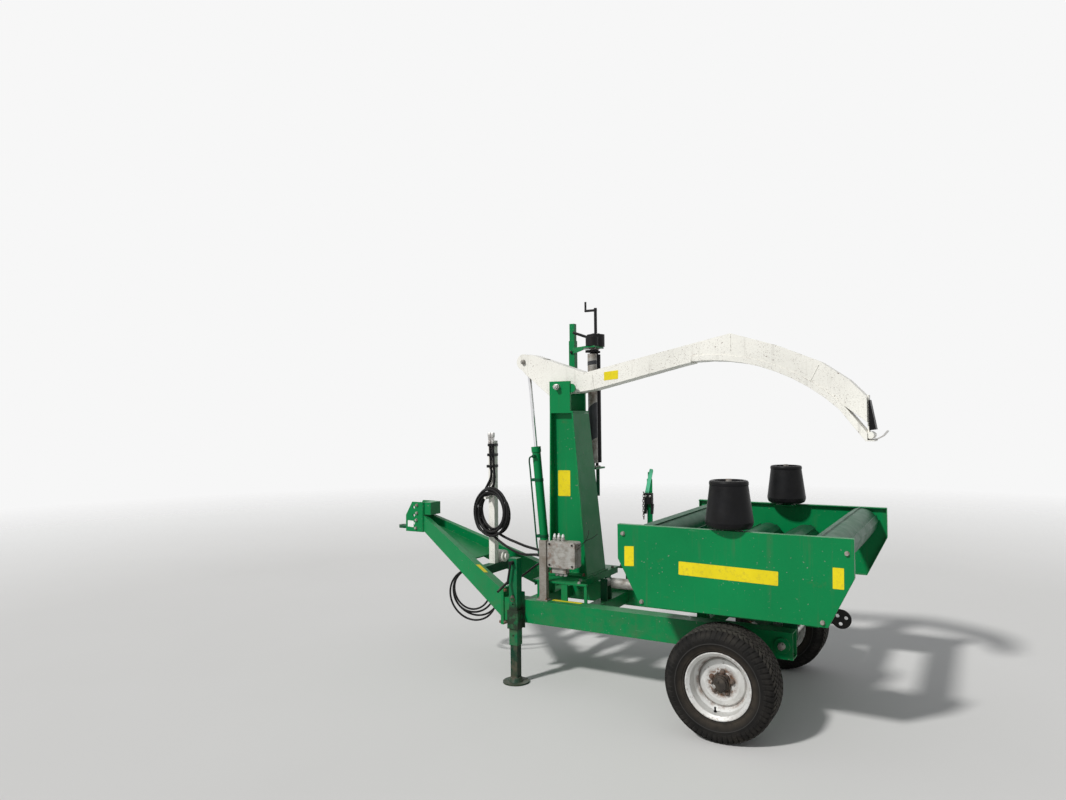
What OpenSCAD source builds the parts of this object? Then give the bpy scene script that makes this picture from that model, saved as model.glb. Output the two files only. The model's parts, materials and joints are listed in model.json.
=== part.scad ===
/* [Wheels] */
// Outer diameter of the tyre
tyre_d = 590; // [520:5:660]
// Width of the tyre
tyre_w = 240; // [180:5:280]
// Diameter of the rim at its flange
rim_d = 350; // [300:5:400]
// Distance between the middles of the two tyres
track_w = 1360; // [1300:5:1500]
// Diameter of the round part of the stub axle
stub_d = 40; // [30:1:50]
// Diameter of the wheel hub drum
hub_d = 92; // [80:1:110]

/* [Main frame] */
// Distance between the outer faces of the two main beams
frame_w = 840; // [760:5:900]
// Width of a main beam
beam_w = 100; // [60:5:110]
// Height of a main beam
beam_h = 146; // [120:1:160]
// Height of the top of the main beams above the ground
beam_top = 522; // [500:1:540]
// Front end of the main beams, ahead of the axle
beam_front = 1530; // [1500:5:1600]
// Rear end of the main beams, behind the axle
beam_rear = 305; // [290:5:360]
// Wall of the square and rectangular tubes
tube_wall = 6; // [4:0.5:8]
// Side of the square axle tube
axle_tube = 70; // [60:1:80]

/* [Drawbar] */
// Distance from the rear face of the hitch head to the middle of the towing eye
tongue_l = 245; // [230:5:300]
// Height of the towing tongue above the ground
eye_z = 862; // [820:1:900]
// Inner diameter of the towing eye
eye_bore_d = 32; // [25:1:40]
// Thickness of the towing tongue
tongue_t = 22; // [16:1:30]
// Distance from the axle to the rear face of the hitch head
head_x = 2455; // [2420:5:2480]
// Height of the top of the hitch head
head_top = 1062; // [1045:1:1080]
// Width of a drawbar beam
draw_w = 80; // [60:2:90]
// Height of a drawbar beam
draw_h = 115; // [90:1:130]

/* [Jack] */
// Distance from the axle to the jack
jack_x = 1412; // [1400:1:1430]
// Side of the outer jack tube
jack_tube = 60; // [56:1:64]
// Height of the top of the jack
jack_top = 792; // [760:1:820]
// Diameter of the jack's foot
foot_d = 168; // [120:4:180]

/* [Mast] */
// Height of the top of the mast
mast_top = 1934; // [1880:1:2000]
// Height of the mast's platform
platform_z = 640; // [620:1:660]
// Depth of the mast at its base, front to rear
mast_base_d = 280; // [240:5:300]
// Depth of the mast at its top, front to rear
mast_top_d = 155; // [140:1:180]
// Width of the mast's flanges at its base
mast_base_w = 290; // [260:5:310]
// Width of the mast's flanges at its top
mast_top_w = 240; // [220:5:260]
// Thickness of the mast's plates
mast_t = 10; // [8:1:14]

/* [Arm] */
// Height of the arm's pivot
pivot_z = 1896; // [1880:1:1906]
// Distance from the axle to the arm's pivot
pivot_x = 1268; // [1255:1:1275]
// Diameter of the arm's pivot pin
arm_pin_d = 40; // [30:1:46]
// Width of the arm's box
arm_w = 130; // [100:2:150]
// Thickness of the arm's plates
arm_t = 5; // [4:0.5:8]

/* [Lift cylinder] */
// Diameter of the lift cylinder's barrel
lift_barrel_d = 60; // [50:1:64]
// Diameter of the lift cylinder's rod
lift_rod_d = 25; // [20:1:32]
// Diameter of the pins at both ends of the lift cylinder
lift_pin_d = 25; // [20:1:28]

/* [Tipping frame] */
// Height of the tipping pivot above the ground
tip_z = 450; // [440:1:460]
// Distance of the tipping pivot behind the axle
tip_x = 250; // [230:1:265]
// Diameter of the tipping pivot shaft
tip_shaft_d = 40; // [30:1:46]
// Diameter of the tipping cylinder's barrel
tip_barrel_d = 68; // [56:1:70]
// Diameter of the tipping cylinder's rod
tip_rod_d = 32; // [25:1:36]

/* [Turntable] */
// Distance of the turning axis behind the axle
turn_x = 47; // [30:1:60]
// Length of the turntable at its top
table_l = 1234; // [1150:2:1260]
// Distance between the outer faces of the side plates
table_w = 1464; // [1400:2:1480]
// Height of the lower edge of the side plates
table_low = 653; // [648:1:670]
// Height of the upper edge of the side plates
table_top = 1092; // [1070:1:1110]
// Thickness of the side plates
side_t = 5; // [4:0.5:8]
// Width of the folded flange along the top of a side plate
flange_w = 32; // [26:1:34]

/* [Rollers] */
// Diameter of a roller tube
roller_d = 180; // [160:2:190]
// Wall of a roller tube
roller_wall = 6; // [4:0.5:8]
// Width of a cleat on a roller
cleat_w = 40; // [30:1:50]
// Height of a cleat above the roller tube
cleat_h = 6; // [4:0.5:8]
// Diameter of a roller's shaft
roller_shaft_d = 35; // [25:1:40]

/* [Guide cones] */
// Diameter of a guide cone at its base
cone_base_d = 250; // [220:2:260]
// Diameter of a guide cone at its top
cone_top_d = 196; // [170:2:210]
// Height of a guide cone
cone_h = 250; // [220:2:270]
// Diameter of the spindle that a guide cone turns on
cone_spindle_d = 30; // [24:1:36]

/* [Film dispenser] */
// Height of the top of the dispenser's post
post_top = 2379; // [2340:1:2400]
// Height of the top of the dispenser's crank
crank_top = 2533; // [2500:1:2560]
// Side of the dispenser's square post
post_w = 46; // [40:1:50]
// Diameter of the film stretching rollers
film_roller_d = 66; // [56:1:70]
// Length of the film stretching rollers
film_roller_l = 780; // [750:5:800]

/* [Hidden] */
$fn = 64;

green = [0.0, 0.5, 0.28];
dark_green = [0.0, 0.3, 0.18];
off_white = [0.93, 0.92, 0.88];
black = [0.08, 0.08, 0.09];
steel = [0.6, 0.6, 0.6];
rust = [0.42, 0.27, 0.18];

// Running clearance on a radius, and the gap left between faces that only touch
run = 0.05;
seat = 0.3;

// Ends of the whole machine, measured from the axle
tongue_end_r = 36;
eye_x = head_x + tongue_l;
front_end = -(eye_x + tongue_end_r);
knife_reach = 755;
x_mid = (front_end + knife_reach) / 2;

// The model stands on the ground, with its origin under the middle of its box
module from_axle() translate([-x_mid, 0, 0]) children();

// A box from its two corners
module block(low, high) translate(low) cube(high - low);

// A plate whose outline lies in the X-Z plane, from y0 to y1
module xz(y0, y1) translate([0, y1, 0]) rotate([90, 0, 0]) linear_extrude(y1 - y0) children();

// A plate whose outline lies in the Y-Z plane, from x0 to x1
module yz(x0, x1) translate([x0, 0, 0]) rotate([90, 0, 90]) linear_extrude(x1 - x0) children();

// A rod along Y from y0 to y1 at (x, z)
module rod_y(x, z, y0, y1, d) translate([x, y0, z]) rotate([-90, 0, 0]) cylinder(h = y1 - y0, d = d);

// A rod between two points
module rod(a, b, d) {
    v = b - a;
    len = norm(v);
    translate(a) rotate([0, acos(v.z / len), atan2(v.y, v.x)]) cylinder(h = len, d = d);
}

// A rectangular tube along X
module tube_x(x0, x1, y, z, w, h, t) difference() {
    block([x0, y - w / 2, z], [x1, y + w / 2, z + h]);
    block([x0 - 1, y - w / 2 + t, z + t], [x1 + 1, y + w / 2 - t, z + h - t]);
}

// A plate with square corners cut off by c, whose outline lies in the X-Z plane
module xz_chamfered(low, high, c) xz(low.y, high.y) polygon([[low.x + c, low.z], [high.x - c, low.z],
    [high.x, low.z + c], [high.x, high.z - c], [high.x - c, high.z], [low.x + c, high.z], [low.x, high.z - c],
    [low.x, low.z + c]]);

// The corners of an outline moved inwards by t, for an outline that runs clockwise
function unit(v) = v / norm(v);
function right_of(v) = [v.y, -v.x] / norm(v);
function inset(p, t) = let (n = len(p)) [for (i = [0 : n - 1])
    let (a = right_of(p[i] - p[(i + n - 1) % n]), b = right_of(p[(i + 1) % n] - p[i]))
    p[i] + (a + b) / (1 + a * b) * t];

// Rings of a hose at each point of its route, joined into one closed tube
function way(p, i) = let (n = len(p), d = p[min(i + 1, n - 1)] - p[max(i - 1, 0)]) d / norm(d);
function across(d) = let (c = cross(d, abs(d.z) < 0.9 ? [0, 0, 1] : [1, 0, 0])) c / norm(c);
function turned(d, s) = let (c = s - d * (s * d)) c / norm(c);
function sides(p, i) = i == 0 ? across(way(p, 0)) : turned(way(p, i), sides(p, i - 1));
module hose(p, d, n = 8) {
    rings = [for (i = [0 : len(p) - 1])
        let (w = way(p, i), s = sides(p, i), u = cross(w, s))
        for (k = [0 : n - 1]) p[i] + (s * cos(360 * k / n) + u * sin(360 * k / n)) * d / 2];
    last = (len(p) - 1) * n;
    walls = [for (i = [0 : len(p) - 2], k = [0 : n - 1])
        [i * n + k, i * n + (k + 1) % n, (i + 1) * n + (k + 1) % n, (i + 1) * n + k]];
    polyhedron(rings, concat([[for (k = [n - 1 : -1 : 0]) k]], walls, [[for (k = [0 : n - 1]) last + k]]));
}

beam_low = beam_top - beam_h;
cross_top = beam_low + 100;
tilt_low = 530;
tip_beam_y = 160;
beam_y = frame_w / 2 - beam_w / 2;
inner_y = frame_w / 2 - beam_w;
axle_z = tyre_d / 2;
wheel_y = track_w / 2;
tyre_in = wheel_y - tyre_w / 2;

end_plate = 10;
boss = 12;
// Places of the four cross tubes between the main beams, along X
cross_places = [-1440, -1000, -270, 160];
module main_frame() color(green) from_axle() difference() {
    union() {
        for (s = [-1, 1]) {
            block([-beam_front, s * beam_y - beam_w / 2, beam_low], [beam_rear, s * beam_y + beam_w / 2, beam_top]);
            // Flange that the drawbar is bolted to
            block([-beam_front, s * beam_y - 58, beam_low - 30], [-beam_front + end_plate, s * beam_y + 58, beam_top + 60]);
            rod_y(tip_x, tip_z, min(s * frame_w / 2, s * (frame_w / 2 + boss)),
                  max(s * frame_w / 2, s * (frame_w / 2 + boss)), tip_shaft_d + 44);
            block([-300, s * tip_beam_y - 30, cross_top - tube_wall], [-240, s * tip_beam_y + 30, tilt_low - seat]);
        }
        for (x = cross_places)
            block([x - 40, -inner_y - 1, cross_top - 80], [x + 40, inner_y + 1, cross_top]);
    }
    for (s = [-1, 1])
        block([-beam_front + end_plate, s * beam_y - beam_w / 2 + tube_wall, beam_low + tube_wall],
              [beam_rear + 1, s * beam_y + beam_w / 2 - tube_wall, beam_top - tube_wall]);
    for (x = cross_places)
        block([x - 40 + tube_wall, -beam_y, cross_top - 80 + tube_wall], [x + 40 - tube_wall, beam_y, cross_top - tube_wall]);
    rod_y(tip_x, tip_z, -frame_w, frame_w, tip_shaft_d + 2 * run);
}

module axle_beam() color(dark_green) from_axle() {
    difference() {
        block([-axle_tube / 2, -tyre_in + 20, axle_z - axle_tube / 2],
              [axle_tube / 2, tyre_in - 20, axle_z + axle_tube / 2]);
        block([-axle_tube / 2 + tube_wall, -tyre_in, axle_z - axle_tube / 2 + tube_wall],
              [axle_tube / 2 - tube_wall, tyre_in, axle_z + axle_tube / 2 - tube_wall]);
    }
    // Two saddle plates under each main beam, with a foot that is bolted to it
    for (s = [-1, 1]) {
        for (k = [-1, 1])
            xz(s * beam_y + k * 34 - 4, s * beam_y + k * 34 + 4)
                polygon([[-110, beam_low], [110, beam_low], [axle_tube / 2, axle_z + axle_tube / 2 - 1],
                         [-axle_tube / 2, axle_z + axle_tube / 2 - 1]]);
        block([-130, s * beam_y - beam_w / 2, beam_low - 8], [130, s * beam_y + beam_w / 2, beam_low - seat]);
    }
}

stub_end = wheel_y + 30;
plug = axle_tube - 2 * tube_wall - seat;

module stub_axles() color(steel) from_axle()
    for (s = [-1, 1]) {
        rod_y(0, axle_z, min(s * (tyre_in - 30), s * stub_end), max(s * (tyre_in - 30), s * stub_end), stub_d);
        rod_y(0, axle_z, min(s * (tyre_in - 20 + seat), s * (tyre_in - 8)),
              max(s * (tyre_in - 20 + seat), s * (tyre_in - 8)), stub_d + 60);
        block([-plug / 2, min(s * (tyre_in - 120), s * (tyre_in - 20)), axle_z - plug / 2],
              [plug / 2, max(s * (tyre_in - 120), s * (tyre_in - 20)), axle_z + plug / 2]);
    }

// Drawbar beams run from the frame's front corners up to the hitch head
draw_low = 390;
head_low = 838;
draw_t = 6;
// A beam with its sides moved in by t and its ends out by t
module draw_beam(s, t) hull() {
    block([-beam_front - 14 + t, s * beam_y - draw_w / 2 + t, draw_low + t],
          [-beam_front - 12 + t, s * beam_y + draw_w / 2 - t, draw_low + draw_h + 60 - t]);
    block([-head_x - t, s * 45 - draw_w / 4 + t, head_low + 8 + t],
          [-head_x + 2 - t, s * 45 + draw_w / 4 - t, head_low + 8 + draw_h - t]);
}
// Height of the middle of the drawbar beams at x
function draw_mid(x) = let (k = (-beam_front - x) / (head_x - beam_front)) (draw_low + draw_h / 2 + 30) * (1 - k)
    + (head_low + 8 + draw_h / 2) * k;
module gusset_end(x) block([x, -draw_gap(x) - 3, draw_mid(x) - 4], [x + 1, draw_gap(x) + 3, draw_mid(x) + 4]);
hook_x = -1975;
hook_z = 600;
hook_d = 14;
module drawbar() color(green) from_axle() {
    for (s = [-1, 1]) {
        block([-beam_front - 12, s * beam_y - 58, beam_low - 30], [-beam_front - seat, s * beam_y + 58, beam_top + 60]);
        difference() {
            draw_beam(s, 0);
            draw_beam(s, draw_t);
        }
    }
    // Plate between the beams, behind the hitch head
    hull() {
        gusset_end(-head_x + 60);
        gusset_end(-head_x + 480);
    }
    // Hook for the control cable
    block([hook_x - 15, -draw_gap(hook_x) - 4, hook_z - 8], [hook_x + 15, -draw_gap(hook_x) + 6, hook_z + 90]);
    rod_y(hook_x, hook_z, -draw_gap(hook_x), -50, hook_d);
    block([hook_x - 6, -56, hook_z - 6], [hook_x + 6, -50, hook_z + 24]);
}

module hitch_head() color(green) from_axle() {
    block([-head_x - 8, -70, head_low], [-head_x, 70, head_top]);
    // Box on top of the ends of the drawbar beams, open below
    difference() {
        block([-head_x - 1, -60, head_low + draw_h + 16], [-head_x + 62, 60, head_top]);
        block([-head_x, -60 + tube_wall, head_low], [-head_x + 62 - tube_wall, 60 - tube_wall, head_top - tube_wall]);
    }
    for (s = [-1, 1])
        xz(s * 66 - 6, s * 66 + 6)
            difference() {
                polygon([[-head_x - 8, head_low], [-head_x - 8, head_top], [-head_x - 105, head_top],
                         [-head_x - 165, head_top - 102], [-head_x - 165, head_low]]);
                for (z = [head_top - 162 : 60 : head_top - 42]) translate([-head_x - 90, z]) circle(d = 21);
            }
}

module towing_tongue() color(dark_green) from_axle()
    translate([0, 0, eye_z - tongue_t / 2])
        difference() {
            union() {
                block([-eye_x, -36, 0], [-head_x - 8, 36, tongue_t]);
                translate([-eye_x, 0, 0]) cylinder(h = tongue_t, r = tongue_end_r);
                block([-head_x - 90, -60 + seat, 0], [-head_x - 8, 60 - seat, tongue_t]);
            }
            translate([-eye_x, 0, -1]) cylinder(h = tongue_t + 2, d = eye_bore_d);
        }

jack_y = -(frame_w / 2 + jack_tube / 2 + 6);
jack_low = 240;
leg_w = jack_tube - 10;
// A square tube round the jack's axis, from z0 to z1, with outer half width a and inner half width b
module jack_ring(z0, z1, a, b) difference() {
    block([-jack_x - a, jack_y - a, z0], [-jack_x + a, jack_y + a, z1]);
    block([-jack_x - b, jack_y - b, z0 - 1], [-jack_x + b, jack_y + b, z1 + 1]);
}
module jack_sleeve() color(green) from_axle() {
    difference() {
        union() {
            jack_ring(jack_low, jack_top - 8, jack_tube / 2, leg_w / 2 + seat);
            // Collar, worn dark
            block([-jack_x - jack_tube / 2 - 9, jack_y - jack_tube / 2 - 9, 345],
                  [-jack_x + jack_tube / 2 + 9, jack_y + jack_tube / 2, 462]);
        }
        block([-jack_x - leg_w / 2 - seat, jack_y - leg_w / 2 - seat, jack_low],
              [-jack_x + leg_w / 2 + seat, jack_y + leg_w / 2 + seat, jack_top - 100]);
        // Holes for the stop pin
        for (z = [300, 500, 550]) rod_y(-jack_x, z, jack_y - jack_tube, jack_y, 14);
    }
    block([-jack_x - jack_tube / 2, jack_y - jack_tube / 2, jack_top - 8], [-jack_x + jack_tube / 2, jack_y + jack_tube / 2, jack_top]);
    block([-jack_x - 50, jack_y + jack_tube / 2, 345], [-jack_x + 50, -frame_w / 2 - seat, 575]);
}

module jack_leg() color(dark_green) from_axle() {
    difference() {
        block([-jack_x - leg_w / 2, jack_y - leg_w / 2, 10], [-jack_x + leg_w / 2, jack_y + leg_w / 2, 520]);
        block([-jack_x - leg_w / 2 + 4, jack_y - leg_w / 2 + 4, 30], [-jack_x + leg_w / 2 - 4, jack_y + leg_w / 2 - 4, 521]);
    }
    translate([-jack_x, jack_y, 0]) cylinder(h = 10, d = foot_d);
    translate([-jack_x, jack_y, 10]) cylinder(h = 26, d1 = 96, d2 = leg_w + 22);
}

module jack_crank() color(black) from_axle() {
    hub_y = jack_y - jack_tube / 2;
    rod([-jack_x, hub_y, jack_top - 26], [-jack_x, hub_y - 34, jack_top - 26], 26);
    rod([-jack_x, hub_y - 26, jack_top - 26], [-jack_x - 20, hub_y - 30, jack_top - 146], 14);
    rod([-jack_x - 20, hub_y - 24, jack_top - 144], [-jack_x - 29, hub_y - 134, jack_top - 189], 16);
}

mast_front = -1332;
mast_rear = mast_front + mast_base_d;
plate_rear = mast_rear + 15;
plate_side = inner_y + 18;
// Posts that carry the platform, as places along X with half widths
posts = [[mast_front + 32, 20], [mast_front + 210, 22], [plate_rear + 65, 10]];
module platform() color(green) from_axle() {
    block([mast_front - 20, -plate_side, platform_z - 12], [plate_rear, plate_side, platform_z]);
    for (s = [-1, 1]) {
        block([plate_rear - 1, min(s * plate_side, s * inner_y), platform_z - 12],
              [plate_rear + 75, max(s * plate_side, s * inner_y), platform_z]);
        for (p = posts)
            block([p.x - p.y, s * (inner_y + 9) - 5, beam_top], [p.x + p.y, s * (inner_y + 9) + 5, platform_z - 6]);
    }
    // Folded edges below the plate, front and rear
    for (x = [mast_front - 20, plate_rear - 6])
        block([x, -inner_y + 8, platform_z - 42], [x + 6, inner_y - 8, platform_z - 6]);
}

web_y = 75;
web_t = 6;
rear_lean = atan((mast_base_d - mast_top_d) / (mast_top - platform_z));
cheek_low = mast_top - 214;
function rear_x(z) = mast_rear - (z - platform_z) * tan(rear_lean);
module web_outline(t) polygon([[mast_front + mast_t + t, platform_z - t], [mast_rear - mast_t - t, platform_z - t],
    [rear_x(cheek_low) - mast_t - t, cheek_low - t], [mast_front + mast_t + t, cheek_low - t]]);
module mast() color(green) from_axle() {
    // Web box between the two flanges
    difference() {
        xz(-web_y, web_y) web_outline(0);
        xz(-web_y + web_t, web_y - web_t) web_outline(web_t);
    }
    // Front flange, upright
    yz(mast_front, mast_front + mast_t)
        polygon([[-mast_base_w / 2, platform_z], [mast_base_w / 2, platform_z],
                 [mast_top_w / 2, cheek_low], [-mast_top_w / 2, cheek_low]]);
    // Rear flange, leaning forward
    difference() {
        translate([mast_rear, 0, platform_z]) rotate([0, -rear_lean, 0]) translate([-mast_rear, 0, -platform_z])
            yz(mast_rear - mast_t, mast_rear)
                polygon([[-mast_base_w / 2, platform_z], [mast_base_w / 2, platform_z],
                         [mast_top_w / 2, cheek_low + 4], [-mast_top_w / 2, cheek_low + 4]]);
        block([mast_front, -mast_base_w, platform_z - 20], [mast_rear + 20, mast_base_w, platform_z]);
    }
    block([mast_front - 8, -mast_base_w / 2 - 18, platform_z], [mast_rear + 8, mast_base_w / 2 + 18, platform_z + 12]);
    // Cheeks that hold the arm's pivot, each with a round ear behind
    for (s = [-1, 1])
        difference() {
            union() {
                block([mast_front, s * (mast_top_w / 2 - 8) - 8, cheek_low],
                      [mast_front + mast_top_d, s * (mast_top_w / 2 - 8) + 8, mast_top]);
                rod_y(mast_front + mast_top_d + 7, pivot_z - 10, s * (mast_top_w / 2 - 12) - 4, s * (mast_top_w / 2 - 12) + 4, 60);
            }
            rod_y(-pivot_x, pivot_z, -200, 200, arm_pin_d + 4 * run);
        }
    block([mast_front, -mast_top_w / 2, cheek_low], [mast_front + mast_top_d + 20, mast_top_w / 2, cheek_low + 14]);
}

module arm_pin() color(steel) from_axle() rod_y(-pivot_x, pivot_z, -mast_top_w / 2 - 22, mast_top_w / 2 + 22, arm_pin_d);

// Arm outline in the X-Z plane, from the lever's eye over the top to the tip and back underneath
lever_x = -1567;
lever_z = 2080;
arm_tip = 652;
// A curved band is welded under the arm. Its middle, the radius of its lower face and its height
band_mid = [-271, 907];
band_r = 1126;
band_h = 34;
band_ends = [-4.1, 43.6];
band_steps = 9;
function on_band(r, from, to) = [for (k = [0 : band_steps])
    let (a = from + (to - from) * k / band_steps) band_mid + r * [sin(a), cos(a)]];
arm_top = [[-1505, 2129], [-1095, 1988], [-107, 2191], [160, 2105], [410, 1996], [560, 1888], [arm_tip, 1790]];
arm_low = concat([[-1548, 1990], [-1367, 1843], [-1172, 1855], [-1035, 1873], [-436, 2009], [-357, 2025]],
                 on_band(band_r + band_h - 3, band_ends[0], band_ends[1]), [[arm_tip, 1648]]);
arm_outline = concat([[lever_x - 20, lever_z + 49]], arm_top, [for (i = [len(arm_low) - 1 : -1 : 0]) arm_low[i]],
                     [[lever_x - 20, lever_z - 49]]);
// The band runs on straight to the tip, where its lower face becomes a lip
lip_z = 1547;
tip_lip = [[636, lip_z + 3], [642, lip_z - 6], [689, lip_z - 6], [689, lip_z - seat], [arm_tip, lip_z - seat], [arm_tip, 1588]];
band_outline = concat(on_band(band_r, band_ends[0], band_ends[1]), tip_lip, on_band(band_r + band_h, band_ends[1], band_ends[0]));
tip_hollow = [[640, lip_z + 6], [644, lip_z - seat], [arm_tip + 20, lip_z - seat], [arm_tip + 20, 1580], [648, 1584]];
band_hollow = concat(on_band(band_r + arm_t, band_ends[0] + 0.3, band_ends[1]), tip_hollow,
                     on_band(band_r + band_h - arm_t, band_ends[1], band_ends[0] + 0.3));
module arm() color(off_white) from_axle() {
    difference() {
        union() {
            xz(-arm_w / 2, arm_w / 2) polygon(arm_outline);
            rod_y(lever_x, lever_z, -arm_w / 2, arm_w / 2, 110);
        }
        xz(-arm_w / 2 + arm_t, arm_w / 2 - arm_t) polygon(inset(arm_outline, arm_t));
        // The lever is open in front and below, where the cylinder's rod comes in
        block([lever_x - 80, -arm_w / 2 + arm_t, lever_z - 140], [-1400, arm_w / 2 - arm_t, lever_z + 20]);
        rod_y(lever_x, lever_z, -200, 200, lift_pin_d + 2 * run);
        rod_y(-pivot_x, pivot_z, -200, 200, arm_pin_d + 2 * run);
    }
    difference() {
        rod_y(-pivot_x, pivot_z, -mast_top_w / 2 + 22, mast_top_w / 2 - 22, arm_pin_d + 24);
        rod_y(-pivot_x, pivot_z, -200, 200, arm_pin_d + 2 * run);
    }
    difference() {
        xz(-arm_w / 2 - 4, arm_w / 2 + 4) polygon(band_outline);
        xz(-arm_w / 2 - 4 + arm_t, arm_w / 2 + 4 - arm_t) polygon(band_hollow);
    }
    // End strip and the round bar below it
    block([arm_tip - 2, -30, 1586], [arm_tip + 6, 30, 1800]);
    rod_y(arm_tip + 14, lip_z + 27, -60, 60, 40);
}

module arm_pad() color(black) from_axle()
    xz(-40, 40) polygon([[arm_tip + 6 + seat, 1768], [arm_tip + 12, 1772], [arm_tip + 42, 1606], [arm_tip + 6 + seat, 1601]]);

module arm_knife() color(steel) from_axle()
    xz(-30, 30) polygon([[arm_tip + 2, lip_z], [691, lip_z + 1], [731, 1568], [knife_reach, 1597], [knife_reach - 7, 1601],
                         [727, 1574], [689, lip_z + 6.5], [arm_tip + 2, lip_z + 5.5]]);

lift_foot = [-1430, 620];
lift_eye = [lever_x, lever_z];
lift_dir = (lift_eye - lift_foot) / norm(lift_eye - lift_foot);
lift_barrel_l = 866;
module lift_barrel() color(green) from_axle() {
    difference() {
        union() {
            rod([lift_foot.x + lift_dir.x * 40, 0, lift_foot.y + lift_dir.y * 40],
                [lift_foot.x + lift_dir.x * lift_barrel_l, 0, lift_foot.y + lift_dir.y * lift_barrel_l], lift_barrel_d);
            rod([lift_foot.x + lift_dir.x * (lift_barrel_l - 34), 0, lift_foot.y + lift_dir.y * (lift_barrel_l - 34)],
                [lift_foot.x + lift_dir.x * (lift_barrel_l + 6), 0, lift_foot.y + lift_dir.y * (lift_barrel_l + 6)], lift_barrel_d + 8);
            // Oil ports, on the left side
            for (d = [95, lift_barrel_l - 60])
                rod([lift_foot.x + lift_dir.x * d, 0, lift_foot.y + lift_dir.y * d],
                    [lift_foot.x + lift_dir.x * d, -lift_barrel_d / 2 - 16, lift_foot.y + lift_dir.y * d], 24);
            rod_y(lift_foot.x, lift_foot.y, -20, 20, lift_pin_d + 26);
            rod([lift_foot.x, 0, lift_foot.y], [lift_foot.x + lift_dir.x * 60, 0, lift_foot.y + lift_dir.y * 60], 34);
        }
        rod_y(lift_foot.x, lift_foot.y, -60, 60, lift_pin_d + 2 * run);
        rod([lift_foot.x + lift_dir.x * 70, 0, lift_foot.y + lift_dir.y * 70],
            [lift_foot.x + lift_dir.x * 900, 0, lift_foot.y + lift_dir.y * 900], lift_rod_d + 2 * run);
    }
}

module lift_rod() color("silver") from_axle() {
    difference() {
        union() {
            rod([lift_foot.x + lift_dir.x * 560, 0, lift_foot.y + lift_dir.y * 560],
                [lift_eye.x - lift_dir.x * 20, 0, lift_eye.y - lift_dir.y * 20], lift_rod_d);
            rod_y(lift_eye.x, lift_eye.y, -25, 25, lift_pin_d + 24);
        }
        rod_y(lift_eye.x, lift_eye.y, -60, 60, lift_pin_d + 2 * run);
    }
}

module lift_lug() color(green) from_axle() {
    for (s = [-1, 1])
        block([lift_foot.x - 35, s * 40 - 6, cross_top], [lift_foot.x + 35, s * 40 + 6, lift_foot.y + 30]);
    rod_y(lift_foot.x, lift_foot.y, -52, 52, lift_pin_d);
}

disp_x = -1400;
disp_y = inner_y + beam_w / 2;
film_b = [-1215, disp_y];
film_a = [film_b.x + 6, disp_y - 75];
film_low = 1364;
shaft_d = 22;
bracket_t = 12;
film_high = film_low + film_roller_l;
module film_bracket(z) translate([0, 0, z]) linear_extrude(bracket_t) difference() {
    polygon([[disp_x, disp_y - 20], [film_a.x - 38, film_a.y - 38], [film_a.x + 38, film_a.y - 38],
             [film_b.x + 38, film_b.y + 52], [film_b.x - 38, film_b.y + 52], [disp_x, disp_y + 20]]);
    translate(film_a) circle(d = shaft_d + 2 * run);
    translate(film_b) circle(d = shaft_d + 2 * run);
}
// The outer tube carries the brackets; the inner one slides in it
sleeve_top = post_top - 126;
low_bracket = film_low - 44;
high_bracket = film_high + 44;
module dispenser_post() color(green) from_axle() {
    block([disp_x - post_w / 2, disp_y - post_w / 2, beam_top + 10], [disp_x + post_w / 2, disp_y + post_w / 2, sleeve_top]);
    block([disp_x - post_w / 2 + 4, disp_y - post_w / 2 + 4, sleeve_top], [disp_x + post_w / 2 - 4, disp_y + post_w / 2 - 4, post_top]);
    block([disp_x - 60, disp_y - beam_w / 2, beam_top], [disp_x + 60, disp_y + beam_w / 2, beam_top + 10]);
    film_bracket(low_bracket);
    film_bracket(high_bracket);
    // Upright edges that stiffen the brackets, deeper at the post
    for (z = [low_bracket, high_bracket])
        hull() {
            block([disp_x, disp_y - 21, z - 34], [disp_x + 1, disp_y - 15, z + 6]);
            block([film_a.x - 61, film_a.y - 26, z - 15], [film_a.x - 60, film_a.y - 20, z + 6]);
        }
}

head_z = high_bracket + bracket_t + seat;
module dispenser_head() color(black) from_axle() {
    translate([film_b.x, film_b.y, head_z]) cylinder(h = 88, r = 64);
    translate([film_a.x, film_a.y, head_z]) cylinder(h = 66, r = 46);
    translate([film_b.x, film_b.y, head_z + 86]) cylinder(h = 10, r = 30);
    // Crank for turning the rollers by hand
    rod([film_b.x, film_b.y, head_z + 90], [film_b.x, film_b.y, crank_top - 50], 22);
    rod([film_b.x + 9, film_b.y, crank_top - 66], [film_b.x - 85, film_b.y, crank_top - 66], 18);
    rod([film_b.x - 80, film_b.y, crank_top - 68], [film_b.x - 80, film_b.y, crank_top], 15);
    // Lever of the film brake
    rod([film_b.x - 20, film_b.y - 20, head_z + 58], [film_b.x - 160, film_b.y - 45, head_z + 110], 20);
}

module film_roller(p, tint) color(tint) from_axle() {
    translate([p.x, p.y, film_low]) cylinder(h = film_roller_l, d = film_roller_d);
    translate([p.x, p.y, low_bracket]) cylinder(h = high_bracket + bracket_t - low_bracket - seat, d = shaft_d);
}
module film_roller_a() film_roller(film_a, [0.5, 0.5, 0.48]);
module film_roller_b() film_roller(film_b, black);

module film_spindle() color(dark_green) from_axle()
    translate([film_b.x - 11, film_b.y + 34, low_bracket - 200]) cylinder(h = 200 - seat, d = 26);

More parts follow.
